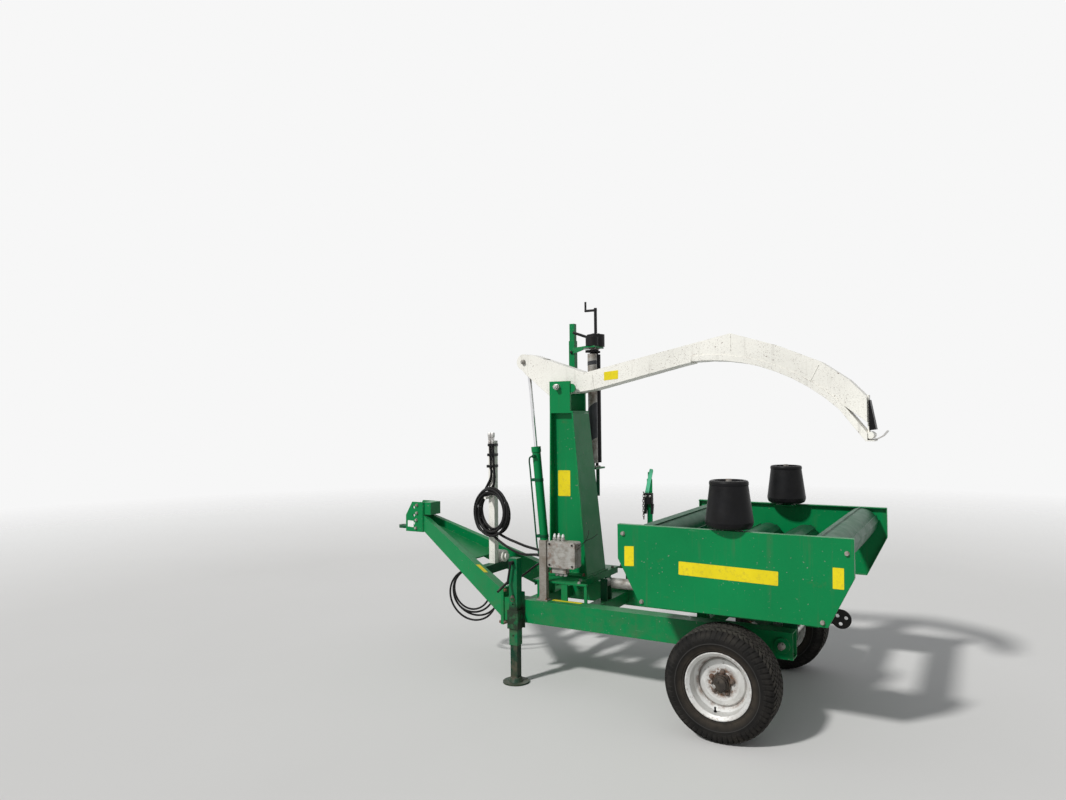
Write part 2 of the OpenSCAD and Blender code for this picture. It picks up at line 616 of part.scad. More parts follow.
valve_y = -(frame_w / 2 - 138);
valve_z = [735, 900];
valve_front = -1225;
module valve_box() color([0.6, 0.58, 0.54]) from_axle() {
    xz_chamfered([valve_front, valve_y - 90, valve_z[0]], [valve_front + 200, valve_y, valve_z[1]], 10);
    // Valve block below the box, with its unions
    block([valve_front + 25, valve_y - 70, valve_z[0] - 38], [valve_front + 125, valve_y - 20, valve_z[0]]);
    for (x = [50, 80, 110])
        translate([valve_front + x, valve_y - 45, valve_z[0] - 58]) cylinder(h = 22, d = 20);
    // Unions on top
    for (x = [35, 65, 95])
        translate([valve_front + x, valve_y - 45, valve_z[1] - 1]) cylinder(h = 26, d = 22);
}
module valve_stand() color(rust) from_axle() {
    block([valve_front - 50, valve_y - 102, beam_top], [valve_front, valve_y - 96, valve_z[1] + 5]);
    block([valve_front - 6, valve_y - 98, beam_top], [valve_front - seat, valve_y - 68, valve_z[1] + 5]);
    block([valve_front - 66, valve_y - 116, beam_top], [valve_front + 14, valve_y - 66, beam_top + 8]);
}
// Top of the square bar across the drawbar, and its side
bar_top = 660;
bar_side = 60;
post_side = 48;
post_x = -1831;
post_y = -61;
post_high = 1530;
module hose_post() color(off_white) from_axle() {
    difference() {
        block([post_x - post_side / 2, post_y - post_side / 2, bar_top], [post_x + post_side / 2, post_y + post_side / 2, post_high]);
        block([post_x - post_side / 2 + 4, post_y - post_side / 2 + 4, bar_top - 1],
              [post_x + post_side / 2 - 4, post_y + post_side / 2 - 4, post_high + 1]);
    }
    rod_y(post_x, peg_z, post_y - post_side / 2 - 85, post_y - post_side / 2 + 3, peg_d);
}
// Half the clear width between the drawbar beams, at x
function draw_gap(x) = let (k = (-beam_front - x) / (head_x - beam_front)) beam_y * (1 - k) + 45 * k - draw_w * (2 - k) / 4;
// Plan of the bar, cut slanting at both ends to lie against the beams; t is how far in from its sides
module crossbar_plan(t, more) {
    x0 = post_x + 1 - bar_side / 2 + t;
    x1 = post_x + 1 + bar_side / 2 - t;
    y0 = draw_gap(x0) + more;
    y1 = draw_gap(x1) + more;
    polygon([[x0, -y0], [x1, -y1], [x1, y1], [x0, y0]]);
}
module crossbar() color(dark_green) from_axle() difference() {
    translate([0, 0, bar_top - bar_side]) linear_extrude(bar_side) crossbar_plan(0, -1);
    translate([0, 0, bar_top - bar_side + 5]) linear_extrude(bar_side - 10) crossbar_plan(5, 9);
}
can_d = 84;
can_y = post_y + post_side / 2 + can_d / 2 + 5;
module canister() color(off_white) from_axle() {
    mid_z = bar_top + seat + can_d / 2;
    rod([post_x - 31, can_y, mid_z], [post_x + 53, can_y, mid_z], can_d);
    rod([post_x + 52, can_y, mid_z], [post_x + 70, can_y, mid_z], 45);
    block([post_x - 26, can_y - 26, bar_top + seat], [post_x + 28, can_y + 26, mid_z]);
}
stand_y = frame_w / 2 + 140;
module clamp_stand() color(green) from_axle() {
    block([-910, stand_y, beam_top - 40], [-870, stand_y + 6, 1240]);
    block([-902, stand_y, 1239], [-878, stand_y + 6, 1290]);
    block([-910, frame_w / 2, beam_top - 40], [-870, stand_y + 6, beam_top - 10]);
    block([-906, stand_y - 3, 1148], [-868, stand_y + 1, 1236]);
}
module film_clamp() color(black) from_axle() {
    block([-920, stand_y - 30, 1060], [-862, stand_y - seat, 1140]);
    // Two jaws that hold the end of the film
    for (x = [-926, -876])
        xz(stand_y - 24, stand_y - 6) polygon([[x, 990], [x + 16, 990], [x + 22, 1062], [x + 4, 1062]]);
}

tilt_h = 60;
tilt_rear = 310;
module tip_frame() color(dark_green) from_axle() {
    for (s = [-1, 1]) {
        tube_x(-330, tilt_rear, s * tip_beam_y, tilt_low, 60, tilt_h, 5);
        difference() {
            union() {
                block([tip_x - 40, s * 215 - 8, tip_z], [tip_x + 40, s * 215 + 8, tilt_low + tilt_h]);
                rod_y(tip_x, tip_z, s * 215 - 8, s * 215 + 8, 80);
            }
            rod_y(tip_x, tip_z, -400, 400, tip_shaft_d + 2 * run);
        }
        block([tip_x - 40, min(s * 190, s * 223), tilt_low], [tip_x + 40, max(s * 190, s * 223), tilt_low + tilt_h]);
        // Lug for the rod of the tipping cylinder
        block([tip_eye.x - 25, s * 34 - 6, tilt_low], [-160, s * 34 + 6, tip_eye.y + 28]);
    }
    block([-160, -tip_beam_y, tilt_low], [-110, tip_beam_y, tilt_low + tilt_h]);
    block([230, -tip_beam_y, tilt_low], [290, tip_beam_y, tilt_low + tilt_h]);
    block([turn_x - 150, -190, tilt_low + tilt_h], [turn_x + 150, 190, tilt_low + tilt_h + 10]);
}

module tip_shaft() color(steel) from_axle() rod_y(tip_x, tip_z, -frame_w / 2 - 20, frame_w / 2 + 20, tip_shaft_d);

tip_foot = [-976, 593];
tip_eye = [-220, 593];
module tip_lug() color(dark_green) from_axle() {
    for (s = [-1, 1])
        block([tip_foot.x - 30, s * 34 - 6, cross_top], [tip_foot.x + 16, s * 34 + 6, tip_foot.y + 28]);
    rod_y(tip_foot.x, tip_foot.y, -46, 46, 25);
}
module tip_barrel() color([0.5, 0.5, 0.48]) from_axle() difference() {
    union() {
        rod([tip_foot.x + 40, 0, tip_foot.y], [-430, 0, tip_foot.y], tip_barrel_d);
        rod([tip_foot.x, 0, tip_foot.y], [tip_foot.x + 50, 0, tip_foot.y], 36);
        rod_y(tip_foot.x, tip_foot.y, -24, 24, 50);
    }
    rod_y(tip_foot.x, tip_foot.y, -60, 60, 25 + 2 * run);
    rod([tip_foot.x + 80, 0, tip_foot.y], [-400, 0, tip_foot.y], tip_rod_d + 2 * run);
}
module tip_rod() color("silver") from_axle() difference() {
    union() {
        rod([-640, 0, tip_foot.y], [tip_eye.x - 20, 0, tip_eye.y], tip_rod_d);
        rod_y(tip_eye.x, tip_eye.y, -24, 24, 50);
    }
    rod_y(tip_eye.x, tip_eye.y, -60, 60, 25);
}
// Guard of the drive that turns the rollers, on the left side of the tipping frame
guard_y = -(tip_beam_y + 30 + seat);
guard_mid = [518, 572];
module drive_guard() color(black) from_axle()
    xz(guard_y - 8, guard_y) difference() {
        union() {
            hull() {
                translate(guard_mid) circle(r = 52, $fn = 32);
                translate(guard_mid + [-112, 55]) circle(r = 14, $fn = 32);
            }
            polygon([[tilt_rear - 18, tilt_low + 10], [guard_mid.x - 30, guard_mid.y - 30], [guard_mid.x - 60, guard_mid.y + 20],
                     [tilt_rear - 18, tilt_low + 50]]);
        }
        for (a = [20, 140, 260]) translate(guard_mid + 26 * [cos(a), sin(a)]) circle(d = 20, $fn = 32);
    }

module slew_motor() color(black) from_axle() translate([turn_x, 0, 480]) cylinder(h = tilt_low + tilt_h - 480, d = 110);

plate_y = table_w / 2 - side_t;
half_l = table_l / 2;
side_outline = [[-half_l, table_top - 190], [-half_l, table_top], [half_l, table_top], [half_l, table_top - 190],
                [half_l - 125, table_low], [-half_l + 133, table_low]];
// The four rollers: place along X from the turning axis, height, and how far the cleats are turned
roller_places = [[-473, 995, 10], [-125, 868, 45], [118, 868, 30], [473, 995, -19]];

sprocket_r = 150;
sprocket_teeth = 36;
module table_base() color(dark_green) from_axle() {
    translate([turn_x, 0, tilt_low + tilt_h + 10 + seat]) cylinder(h = 60, d = 240);
    // Sprocket ring that the drive chain runs on
    translate([turn_x, 0, tilt_low + tilt_h + 22]) {
        cylinder(h = 12, r = sprocket_r);
        for (k = [0 : sprocket_teeth - 1])
            rotate(360 * k / sprocket_teeth) translate([sprocket_r - 2, -4, 2]) cube([12, 8, 8]);
    }
    for (x = [-220, 220])
        difference() {
            block([turn_x + x - 40, -plate_y, table_low + side_t + seat], [turn_x + x + 40, plate_y, table_low + 65]);
            block([turn_x + x - 40 + tube_wall, -plate_y - 1, table_low + side_t + seat + tube_wall],
                  [turn_x + x + 40 - tube_wall, plate_y + 1, table_low + 65 - tube_wall]);
        }
    block([turn_x - 180, -40, table_low + 7], [turn_x + 180, 40, table_low + 65]);
}

edge_w = 24;
module side_plate(s) color(green) from_axle() {
    y0 = min(s * plate_y, s * (plate_y + side_t));
    difference() {
        union() {
            translate([turn_x, 0, 0]) {
                xz(y0, y0 + side_t) polygon(side_outline);
                // Folded edge all round
                xz(min(s * plate_y, s * (plate_y - edge_w)), max(s * plate_y, s * (plate_y - edge_w))) difference() {
                    polygon(side_outline);
                    polygon(inset(side_outline, side_t));
                }
            }
            for (p = roller_places)
                rod_y(turn_x + p[0], p[1], min(s * plate_y, s * (plate_y - 28)), max(s * plate_y, s * (plate_y - 28)), 70);
        }
        for (p = roller_places)
            rod_y(turn_x + p.x, p.y, s * (plate_y - 14) - 15, s * (plate_y - 14) + 15, roller_shaft_d + 2 * run);
    }
    block([turn_x - half_l, min(s * plate_y, s * (plate_y - flange_w)), table_top - side_t],
          [turn_x + half_l, max(s * plate_y, s * (plate_y - flange_w)), table_top]);
    block([turn_x - 60, min(s * plate_y, s * 625), table_top - 10], [turn_x + 60, max(s * plate_y, s * 625), table_top]);
    translate([turn_x, s * 680, table_top]) cylinder(h = 10, d = 60);
    translate([turn_x, s * 680, table_top]) cylinder(h = 10 + cone_h - 30, d = cone_spindle_d);
}
module side_plate_l() side_plate(-1);
module side_plate_r() side_plate(1);

module roller(i) color(dark_green) from_axle() {
    p = roller_places[i];
    body = plate_y - 28 - 10;
    inner_d = roller_d - 2 * roller_wall;
    difference() {
        rod_y(turn_x + p.x, p.y, -body, body, roller_d);
        rod_y(turn_x + p.x, p.y, 26 - body, body - 26, inner_d);
        for (s = [-1, 1]) rod_y(turn_x + p.x, p.y, s * body - 20, s * body + 20, inner_d);
        for (a = [30, 150, 270])
            rod_y(turn_x + p.x + cos(a) * inner_d * 0.32, p.y + sin(a) * inner_d * 0.32, -body - 1, body + 1, 30);
    }
    rod_y(turn_x + p.x, p.y, -plate_y + 2, plate_y - 2, roller_shaft_d);
    for (k = [0 : 3])
        translate([turn_x + p.x, 0, p.y]) rotate([0, p[2] + 90 * k, 0])
            block([-cleat_w / 2, -body, roller_d / 2 - roller_wall], [cleat_w / 2, body, roller_d / 2 + cleat_h]);
}
module roller_1() roller(0);
module roller_2() roller(1);
module roller_3() roller(2);
module roller_4() roller(3);

module guide_cone(s) color(black) from_axle()
    translate([turn_x, s * 680, table_top + 10 + seat]) {
        low_r = cone_base_d / 2;
        top_r = cone_top_d / 2;
        bore_r = cone_spindle_d / 2 + run;
        h = cone_h;
        rotate_extrude() polygon([[bore_r, 0], [bore_r + 9, 0], [bore_r + 9, h - 26], [top_r - 8, h - 26], [low_r - 9, 34],
            [low_r - 17, 10], [low_r - 30, 0], [low_r - 22, 0], [low_r - 10, 6], [low_r - 3, 18], [low_r, 34],
            [top_r + 2, h - 26], [top_r + 4, h - 22], [top_r + 4, h - 10], [top_r, h - 3], [top_r - 8, h],
            [top_r - 18, h], [top_r - 20, h - 14], [bore_r, h - 14]]);
    }
module guide_cone_l() guide_cone(-1);
module guide_cone_r() guide_cone(1);

module on_wheel(s) translate([0, s * wheel_y, axle_z]) rotate([-90 * s, 0, 0]) children();
hub_r = hub_d / 2;
well_r = rim_d / 2 - 42;
disc_w = well_r - hub_r;
module rim(s) color("silver") from_axle() on_wheel(s) {
    rotate_extrude() polygon([[rim_d / 2, -98], [rim_d / 2, -92], [rim_d / 2 - 14, -84], [rim_d / 2 - 20, -50], [rim_d / 2 - 40, -36],
        [rim_d / 2 - 40, 10], [rim_d / 2 - 20, 30], [rim_d / 2 - 14, 84], [rim_d / 2, 92], [rim_d / 2, 98],
        [rim_d / 2 - 6, 98], [rim_d / 2 - 22, 84], [rim_d / 2 - 27, 34], [rim_d / 2 - 46, 14],
        [rim_d / 2 - 46, -36], [rim_d / 2 - 26, -54], [rim_d / 2 - 20, -84], [rim_d / 2 - 6, -98]]);
    // Dished disc between the hub and the rim's well
    rotate_extrude() polygon([[hub_r - 1, 8], [hub_r - 1, 18], [hub_r + disc_w * 0.28, 18], [hub_r + disc_w * 0.56, 22],
        [hub_r + disc_w * 0.83, 14], [well_r, -4], [well_r, -14], [hub_r + disc_w * 0.8, 4], [hub_r + disc_w * 0.56, 12],
        [hub_r + disc_w * 0.28, 8]]);
    difference() {
        union() {
            translate([0, 0, -70]) cylinder(h = 100, d = hub_d);
            translate([0, 0, 29]) cylinder(h = 20, d1 = hub_d - 14, d2 = hub_d - 20);
            translate([0, 0, 48]) cylinder(h = 12, d1 = hub_d - 28, d2 = hub_d - 36);
        }
        translate([0, 0, -80]) cylinder(h = 130, d = stub_d + 2 * run);
    }
}
module rim_l() rim(-1);
module rim_r() rim(1);

module tyre(s) color(black) from_axle() on_wheel(s) {
    r = tyre_d / 2;
    w = tyre_w / 2;
    bead = rim_d / 2 - 14;
    rotate_extrude($fn = 96) polygon([[bead, -84], [rim_d / 2 + 6, -94], [rim_d / 2 + 40, -w + 4], [r - 50, -w],
        [r - 22, -w + 8], [r - 8, -w + 26], [r, -w + 50], [r, w - 50], [r - 8, w - 26], [r - 22, w - 8], [r - 50, w],
        [rim_d / 2 + 40, w - 4], [rim_d / 2 + 6, 94], [bead, 84]]);
}
module tyre_l() tyre(-1);
module tyre_r() tyre(1);

// Hoses and the control cable. The points of each route are chosen by hand.
peg_d = 18;
hose_d = 18;
cable_d = 14;
coil_mid = [-1790, -134, 1030];
coil_r = 150;
coil_t = 58;
coil_turn = -14;
// The coil hangs on a peg, which touches it from inside
peg_off = (coil_mid.x - post_x + peg_d / 2) / cos(coil_turn);
peg_z = coil_mid.z + sqrt((coil_r - coil_t / 2) ^ 2 - peg_off ^ 2) - peg_d / 2 - seat;
run_route_a = [[-1740, -142, 884], [-1690, -146, 866], [-1640, -150, 850], [-1590, -156, 838], [-1540, -169, 828],
               [-1490, -190, 822], [-1440, -215, 820], [-1390, -245, 820], [-1340, -270, 820], [-1290, -290, 820],
               [valve_front, -310, 820]];
run_route_b = [[-1790, -136, 868], [-1740, -148, 842], [-1690, -158, 818], [-1640, -170, 798], [-1590, -185, 784],
               [-1540, -204, 776], [-1490, -228, 774], [-1440, -254, 778], [-1380, -284, 788], [-1310, -314, 796],
               [valve_front, -336, 796]];
rise_route_a = [[-1800, -130, 1202], [-1806, -124, 1245], [-1812, -118, 1290], [-1817, -112, 1340], [-1822, -106, 1390],
                [-1827, -102, 1440], [-1832, -98, 1490], [-1834, -97, post_high]];
rise_route_b = [for (p = rise_route_a) p + [24, 1, 0]];
cable_r = 175;
cable_lane = 46;
cable_mid = [hook_x, -110, hook_z + hook_d / 2 + seat + cable_d / 2 - cable_r];
cable_route = [[-1880, -118, cable_mid.z + 150], [-1840, -130, 565], [-1780, -150, 540], [-1700, -180, 540], [-1620, -200, 560],
               [-1540, -220, 600], [-1460, -240, 650], [-1380, -260, 700], [-1310, -280, 740], [-1260, -300, 760],
               [valve_front, -322, 766]];
module hose_coil() color(black) from_axle() translate(coil_mid) rotate([0, 0, coil_turn]) rotate([90, 0, 0])
    rotate_extrude() translate([coil_r, 0]) circle(d = coil_t);
module hose_run_a() color(black) from_axle() hose(run_route_a, hose_d);
module hose_run_b() color(black) from_axle() hose(run_route_b, hose_d);
module hose_rise_a() color(black) from_axle() hose(rise_route_a, hose_d);
module hose_rise_b() color(black) from_axle() hose(rise_route_b, hose_d);
// Turns of the cable side by side on the hook
module cable_coil() color(black) from_axle() translate(cable_mid) rotate([0, 0, 10]) rotate([90, 0, 0])
    rotate_extrude() {
        translate([cable_r, -cable_lane]) circle(d = cable_d);
        translate([cable_r - cable_d / 2, -cable_lane]) square([cable_d, 2 * cable_lane]);
        translate([cable_r, cable_lane]) circle(d = cable_d);
    }
module cable_run() color(black) from_axle() hose(cable_route, cable_d);

main_frame();
axle_beam();
stub_axles();
drawbar();
hitch_head();
towing_tongue();
jack_sleeve();
jack_leg();
jack_crank();
platform();
mast();
arm_pin();
arm();
arm_pad();
arm_knife();
lift_barrel();
lift_rod();
lift_lug();
dispenser_post();
dispenser_head();
film_roller_a();
film_roller_b();
film_spindle();
valve_box();
valve_stand();
hose_post();
crossbar();
canister();
clamp_stand();
film_clamp();
tip_frame();
tip_shaft();
tip_lug();
tip_barrel();
tip_rod();
slew_motor();
drive_guard();
table_base();
side_plate_l();
side_plate_r();
roller_1();
roller_2();
roller_3();
roller_4();
guide_cone_l();
guide_cone_r();
rim_l();
rim_r();
tyre_l();
tyre_r();
hose_coil();
hose_run_a();
hose_run_b();
hose_rise_a();
hose_rise_b();
cable_coil();
cable_run();
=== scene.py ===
"""A trailed bale wrapper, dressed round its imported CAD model."""

import json
import math

import bmesh
import bpy
from mathutils import Matrix, Vector


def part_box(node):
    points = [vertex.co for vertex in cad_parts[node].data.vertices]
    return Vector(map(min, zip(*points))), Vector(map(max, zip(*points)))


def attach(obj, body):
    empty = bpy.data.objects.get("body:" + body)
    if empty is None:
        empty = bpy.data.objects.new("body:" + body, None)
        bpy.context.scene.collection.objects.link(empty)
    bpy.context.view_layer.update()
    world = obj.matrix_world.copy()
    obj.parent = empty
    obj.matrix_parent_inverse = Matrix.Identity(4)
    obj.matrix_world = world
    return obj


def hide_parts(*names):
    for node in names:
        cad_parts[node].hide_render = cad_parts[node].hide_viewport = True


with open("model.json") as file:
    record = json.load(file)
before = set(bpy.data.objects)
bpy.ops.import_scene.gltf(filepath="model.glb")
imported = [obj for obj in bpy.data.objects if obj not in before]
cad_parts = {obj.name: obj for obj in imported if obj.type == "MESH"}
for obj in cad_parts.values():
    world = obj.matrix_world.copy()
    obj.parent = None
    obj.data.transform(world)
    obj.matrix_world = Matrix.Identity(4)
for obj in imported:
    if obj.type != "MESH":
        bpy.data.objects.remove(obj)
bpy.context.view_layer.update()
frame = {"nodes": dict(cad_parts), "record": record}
nodes = frame["nodes"]

# Sizes in this script are in millimetres from the axle's middle on the ground, as in the part's source:
# X to the rear, Y to the machine's right, Z up. place() turns them into metres in the row frame.
wheel_low, wheel_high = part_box("rim_l")
AXLE_X = (wheel_low[0] + wheel_high[0]) / 2
AXLE_Z = 295


def place(x, y, z):
    return Vector((x / 1000 + AXLE_X, y / 1000, z / 1000))


def from_to(a, b):
    return Vector(b) - Vector(a)


def new_object(name, data):
    made = bpy.data.objects.new(name, data)
    bpy.context.collection.objects.link(made)
    return made


LEFT = Vector((0, -1, 0))
RIGHT = Vector((0, 1, 0))
UP = Vector((0, 0, 1))
DOWN = Vector((0, 0, -1))
FRONT = Vector((-1, 0, 0))
REAR = Vector((1, 0, 0))
# -1 is the machine's left side and 1 its right
BOTH = (-1, 1)
SIDES = ((-1, "l"), (1, "r"))

# Camera
LENS_MM = 26.37
SENSOR_MM = 36
CLIP_END = 200
CAMERA_AT = place(1223.8, -4753.1, 1688.3)
YAW = math.radians(30.10)
PITCH = math.radians(1.325)
ROLL = math.radians(0.56)


def make_camera():
    data = bpy.data.cameras.new("camera")
    data.lens = LENS_MM
    data.sensor_width = SENSOR_MM
    data.clip_end = CLIP_END
    ahead = Vector((-math.sin(YAW) * math.cos(PITCH), math.cos(YAW) * math.cos(PITCH), math.sin(PITCH)))
    right = ahead.cross(UP).normalized()
    up = right.cross(ahead)
    turned_up = up * math.cos(ROLL) + right * math.sin(ROLL)
    turned_right = right * math.cos(ROLL) - up * math.sin(ROLL)
    axes = Matrix((turned_right, turned_up, -ahead)).transposed().to_4x4()
    camera = new_object("camera", data)
    camera.matrix_world = Matrix.Translation(CAMERA_AT) @ axes
    bpy.context.scene.camera = camera


make_camera()


# Short calls for building nodes
class Nodes:
    """The nodes of one tree. Sockets go in and come out, so that calls nest."""

    def __init__(self, tree):
        self.tree = tree

    def feed(self, socket, value):
        if isinstance(value, bpy.types.NodeSocket):
            self.tree.links.new(value, socket)
        else:
            socket.default_value = value

    def add(self, kind, values=None, **settings):
        """A node with these settings. values holds what its inputs take, by name or number."""
        node = self.tree.nodes.new("ShaderNode" + kind)
        for key, value in settings.items():
            setattr(node, key, value)
        for key, value in (values or {}).items():
            self.feed(node.inputs[key], value)
        return node

    def split(self, vector, axis):
        return self.add("SeparateXYZ", {0: vector}).outputs[axis]

    def span(self, value, low, high, to_low=0.0, to_high=1.0):
        """Runs from 0 to 1, or between the last two numbers, as the value goes from low to high."""
        return self.add("MapRange", {"Value": value, "From Min": low, "From Max": high,
                                     "To Min": to_low, "To Max": to_high}).outputs["Result"]

    def math(self, operation, first, second=0.0):
        return self.add("Math", {0: first, 1: second}, operation=operation).outputs[0]

    def vector(self, operation, *values):
        return self.add("VectorMath", dict(enumerate(values)), operation=operation).outputs

    def times(self, *factors):
        value = factors[0]
        for factor in factors[1:]:
            value = self.math("MULTIPLY", value, factor)
        return value

    def mix(self, amount, first, second):
        """A blend of two colours, which are the node's inputs 6 and 7 and its output 2."""
        return self.add("Mix", {0: amount, 6: first, 7: second}, data_type="RGBA").outputs[2]

    def mix_shaders(self, amount, first, second):
        return self.add("MixShader", {0: amount, 1: first, 2: second}).outputs[0]


class Finish(Nodes):
    """The nodes of one material."""

    def __init__(self, name):
        self.material = bpy.data.materials.new(name)
        self.material.use_nodes = True
        super().__init__(self.material.node_tree)
        self.shader = self.tree.nodes["Principled BSDF"]
        self.place = self.add("TexCoord").outputs["Object"]
        self.normal = self.add("NewGeometry").outputs["Normal"]
        self.height = self.split(self.place, 2)
        self.up = self.split(self.normal, 2)

    def stretch(self, scale, turn=(0, 0, 0)):
        values = {"Vector": self.place, "Scale": scale, "Rotation": turn}
        return self.add("Mapping", values).outputs["Vector"]

    def noise(self, scale, detail=4.0, rough=0.55, place=None):
        values = {"Vector": place or self.place, "Scale": scale, "Detail": detail, "Roughness": rough}
        return self.add("TexNoise", values).outputs["Fac"]

    def edges(self, radius):
        """Rounded normals, and how far they turn from the flat ones, which is most at sharp edges."""
        bevel = self.add("Bevel", {"Radius": radius}, samples=4).outputs["Normal"]
        turned = self.vector("DOT_PRODUCT", bevel, self.normal)["Value"]
        return bevel, self.span(turned, 0.995, 0.82)

    def bump(self, height, strength, distance, normal=None):
        values = {"Strength": strength, "Distance": distance, "Height": height}
        if normal:
            values["Normal"] = normal
        return self.add("Bump", values).outputs["Normal"]

    def finish(self, colour, roughness, normal=None, metallic=0.0, **values):
        values.update({"Base Color": colour, "Roughness": roughness, "Metallic": metallic})
        if normal:
            values["Normal"] = normal
        for key, value in values.items():
            self.feed(self.shader.inputs[key], value)
        return self.material


def rgb(*parts):
    return (*parts, 1.0)


# Finishes
DUST = rgb(0.30, 0.27, 0.22)
DIRT = rgb(0.10, 0.078, 0.055)
RUST = rgb(0.15, 0.062, 0.028)
DARK_RUST = rgb(0.06, 0.030, 0.018)
BARE = rgb(0.32, 0.31, 0.30)
GREASE = rgb(0.017, 0.019, 0.013)


def shade(colour, factor):
    return rgb(*(min(1, part * factor) for part in colour[:3]))


def painted(name, colour, roughness=0.36, dust=0.10, dirt=0.5, rust=0.35, chips=1.0, streaks=0.25,
            speckle=0.0, grease=None):
    """Old sprayed paint: uneven colour, dust on top, dirt below, streaks, chips, scratches, worn edges."""
    f = Finish(name)
    round_normal, edge_amount = f.edges(0.003)
    broad = f.noise(1.7, 3)
    patchy = f.noise(11, 5, 0.6)
    fine = f.noise(95, 3, 0.6)
    tint = f.mix(f.span(broad, 0.3, 0.7), shade(colour, 0.86), shade(colour, 1.08))
    tint = f.mix(f.times(f.span(fine, 0.45, 0.8), 0.25), tint, shade(colour, 0.7))
    upward = f.span(f.up, 0.25, 0.95)
    faded = rgb(*(part * 0.9 + 0.04 for part in colour[:3]))
    tint = f.mix(f.times(upward, f.span(patchy, 0.3, 0.7), 0.25), tint, faded)
    runs = f.noise(1, 4, 0.6, f.stretch((26, 26, 1.3)))
    sideways = f.span(f.math("ABSOLUTE", f.up), 0.5, 0.1)
    streak = f.times(f.span(runs, 0.56, 0.74), sideways, f.span(patchy, 0.35, 0.6), streaks)
    tint = f.mix(streak, tint, DIRT)
    dusty = f.times(upward, f.span(f.noise(7, 5, 0.65), 0.38, 0.72), dust)
    low = f.times(f.span(f.height, 0.72, 0.2), f.span(f.noise(16, 5, 0.7), 0.42, 0.72), dirt)
    soiled = f.math("MAXIMUM", dusty, low)
    tint = f.mix(dusty, tint, DUST)
    tint = f.mix(low, tint, DIRT)
    scratch_a = f.noise(1, 2, 0.5, f.stretch((4, 60, 150), (0.2, 0.5, 0.1)))
    scratch_b = f.noise(1, 2, 0.5, f.stretch((150, 60, 5), (0.1, -0.4, 0.3)))
    scratched = f.math("MAXIMUM", f.span(scratch_a, 0.74, 0.78), f.span(scratch_b, 0.75, 0.79))
    scratched = f.times(scratched, f.span(patchy, 0.5, 0.6), 0.55 * chips)
    tint = f.mix(scratched, tint, rgb(*(part * 0.6 + 0.2 for part in colour[:3])))
    spots = f.times(f.span(f.noise(70, 2, 0.5), 0.70, 0.74), f.span(f.noise(5, 3), 0.46, 0.62), chips)
    dots = f.times(f.span(f.noise(210, 2, 0.6), 0.63, 0.67), f.span(f.noise(8, 3), 0.36, 0.56), speckle)
    spots = f.math("MAXIMUM", spots, dots)
    worn = f.times(edge_amount, f.span(f.noise(34, 4, 0.7), 0.53, 0.63), chips)
    bare = f.math("MAXIMUM", spots, worn)
    rusty = f.mix(f.span(fine, 0.35, 0.65), RUST, DARK_RUST)
    tint = f.mix(bare, tint, f.mix(rust, BARE, rusty))
    halo = f.times(f.span(f.noise(9, 4, 0.7), 0.66, 0.78), rust, 0.6)
    tint = f.mix(halo, tint, rusty)
    if grease:
        low_end, high_end = grease
        smeared = f.times(f.span(f.height, low_end, low_end + 0.03),
                          f.span(f.height, high_end + 0.03, high_end))
        smeared = f.times(smeared, f.span(f.noise(20, 5, 0.7), 0.34, 0.5), 0.88)
        tint = f.mix(smeared, tint, GREASE)
    rough = f.span(patchy, 0.3, 0.7, roughness - 0.07, roughness + 0.09)
    rough = f.math("ADD", rough, f.times(soiled, 0.45))
    rough = f.math("ADD", rough, f.times(bare, 0.25))
    relief = f.math("SUBTRACT", f.times(fine, 0.25), f.times(bare, 1.0))
    normal = f.bump(relief, 0.25, 0.0012, round_normal)
    return f.finish(tint, rough, normal,
                    **{"Coat Weight": 0.03, "Coat Roughness": 0.2, "Specular IOR Level": 0.16})


def bare_metal(name, colour, roughness, metallic, stain, rust):
    """Plain steel, more or less stained and rusted."""
    f = Finish(name)
    round_normal, edge_amount = f.edges(0.002)
    blotch = f.noise(22, 6, 0.65)
    grain = f.noise(1, 3, 0.6, f.stretch((25, 260, 260)))
    tint = f.mix(f.span(grain, 0.3, 0.7), shade(colour, 0.8), shade(colour, 1.12))
    stained = f.times(f.span(blotch, 0.42, 0.66), stain)
    tint = f.mix(stained, tint, shade(DIRT, 1.2))
    rusted = f.times(f.span(f.noise(13, 6, 0.7), 0.62 - 0.3 * rust, 0.74 - 0.2 * rust), min(1.0, 0.3 + rust))
    rusted = f.math("MAXIMUM", rusted, f.times(edge_amount, f.span(blotch, 0.45, 0.6), rust))
    rusty = f.mix(f.span(f.noise(60, 4, 0.7), 0.35, 0.65), shade(RUST, 1.25), DARK_RUST)
    tint = f.mix(rusted, tint, rusty)
    rough = f.span(blotch, 0.3, 0.7, roughness - 0.08, roughness + 0.12)
    rough = f.math("ADD", rough, f.times(rusted, 0.35))
    shine = f.math("SUBTRACT", metallic, f.times(rusted, metallic))
    normal = f.bump(f.math("ADD", f.noise(150, 3), f.times(rusted, 0.8)), 0.3, 0.001, round_normal)
    return f.finish(tint, rough, normal, shine)


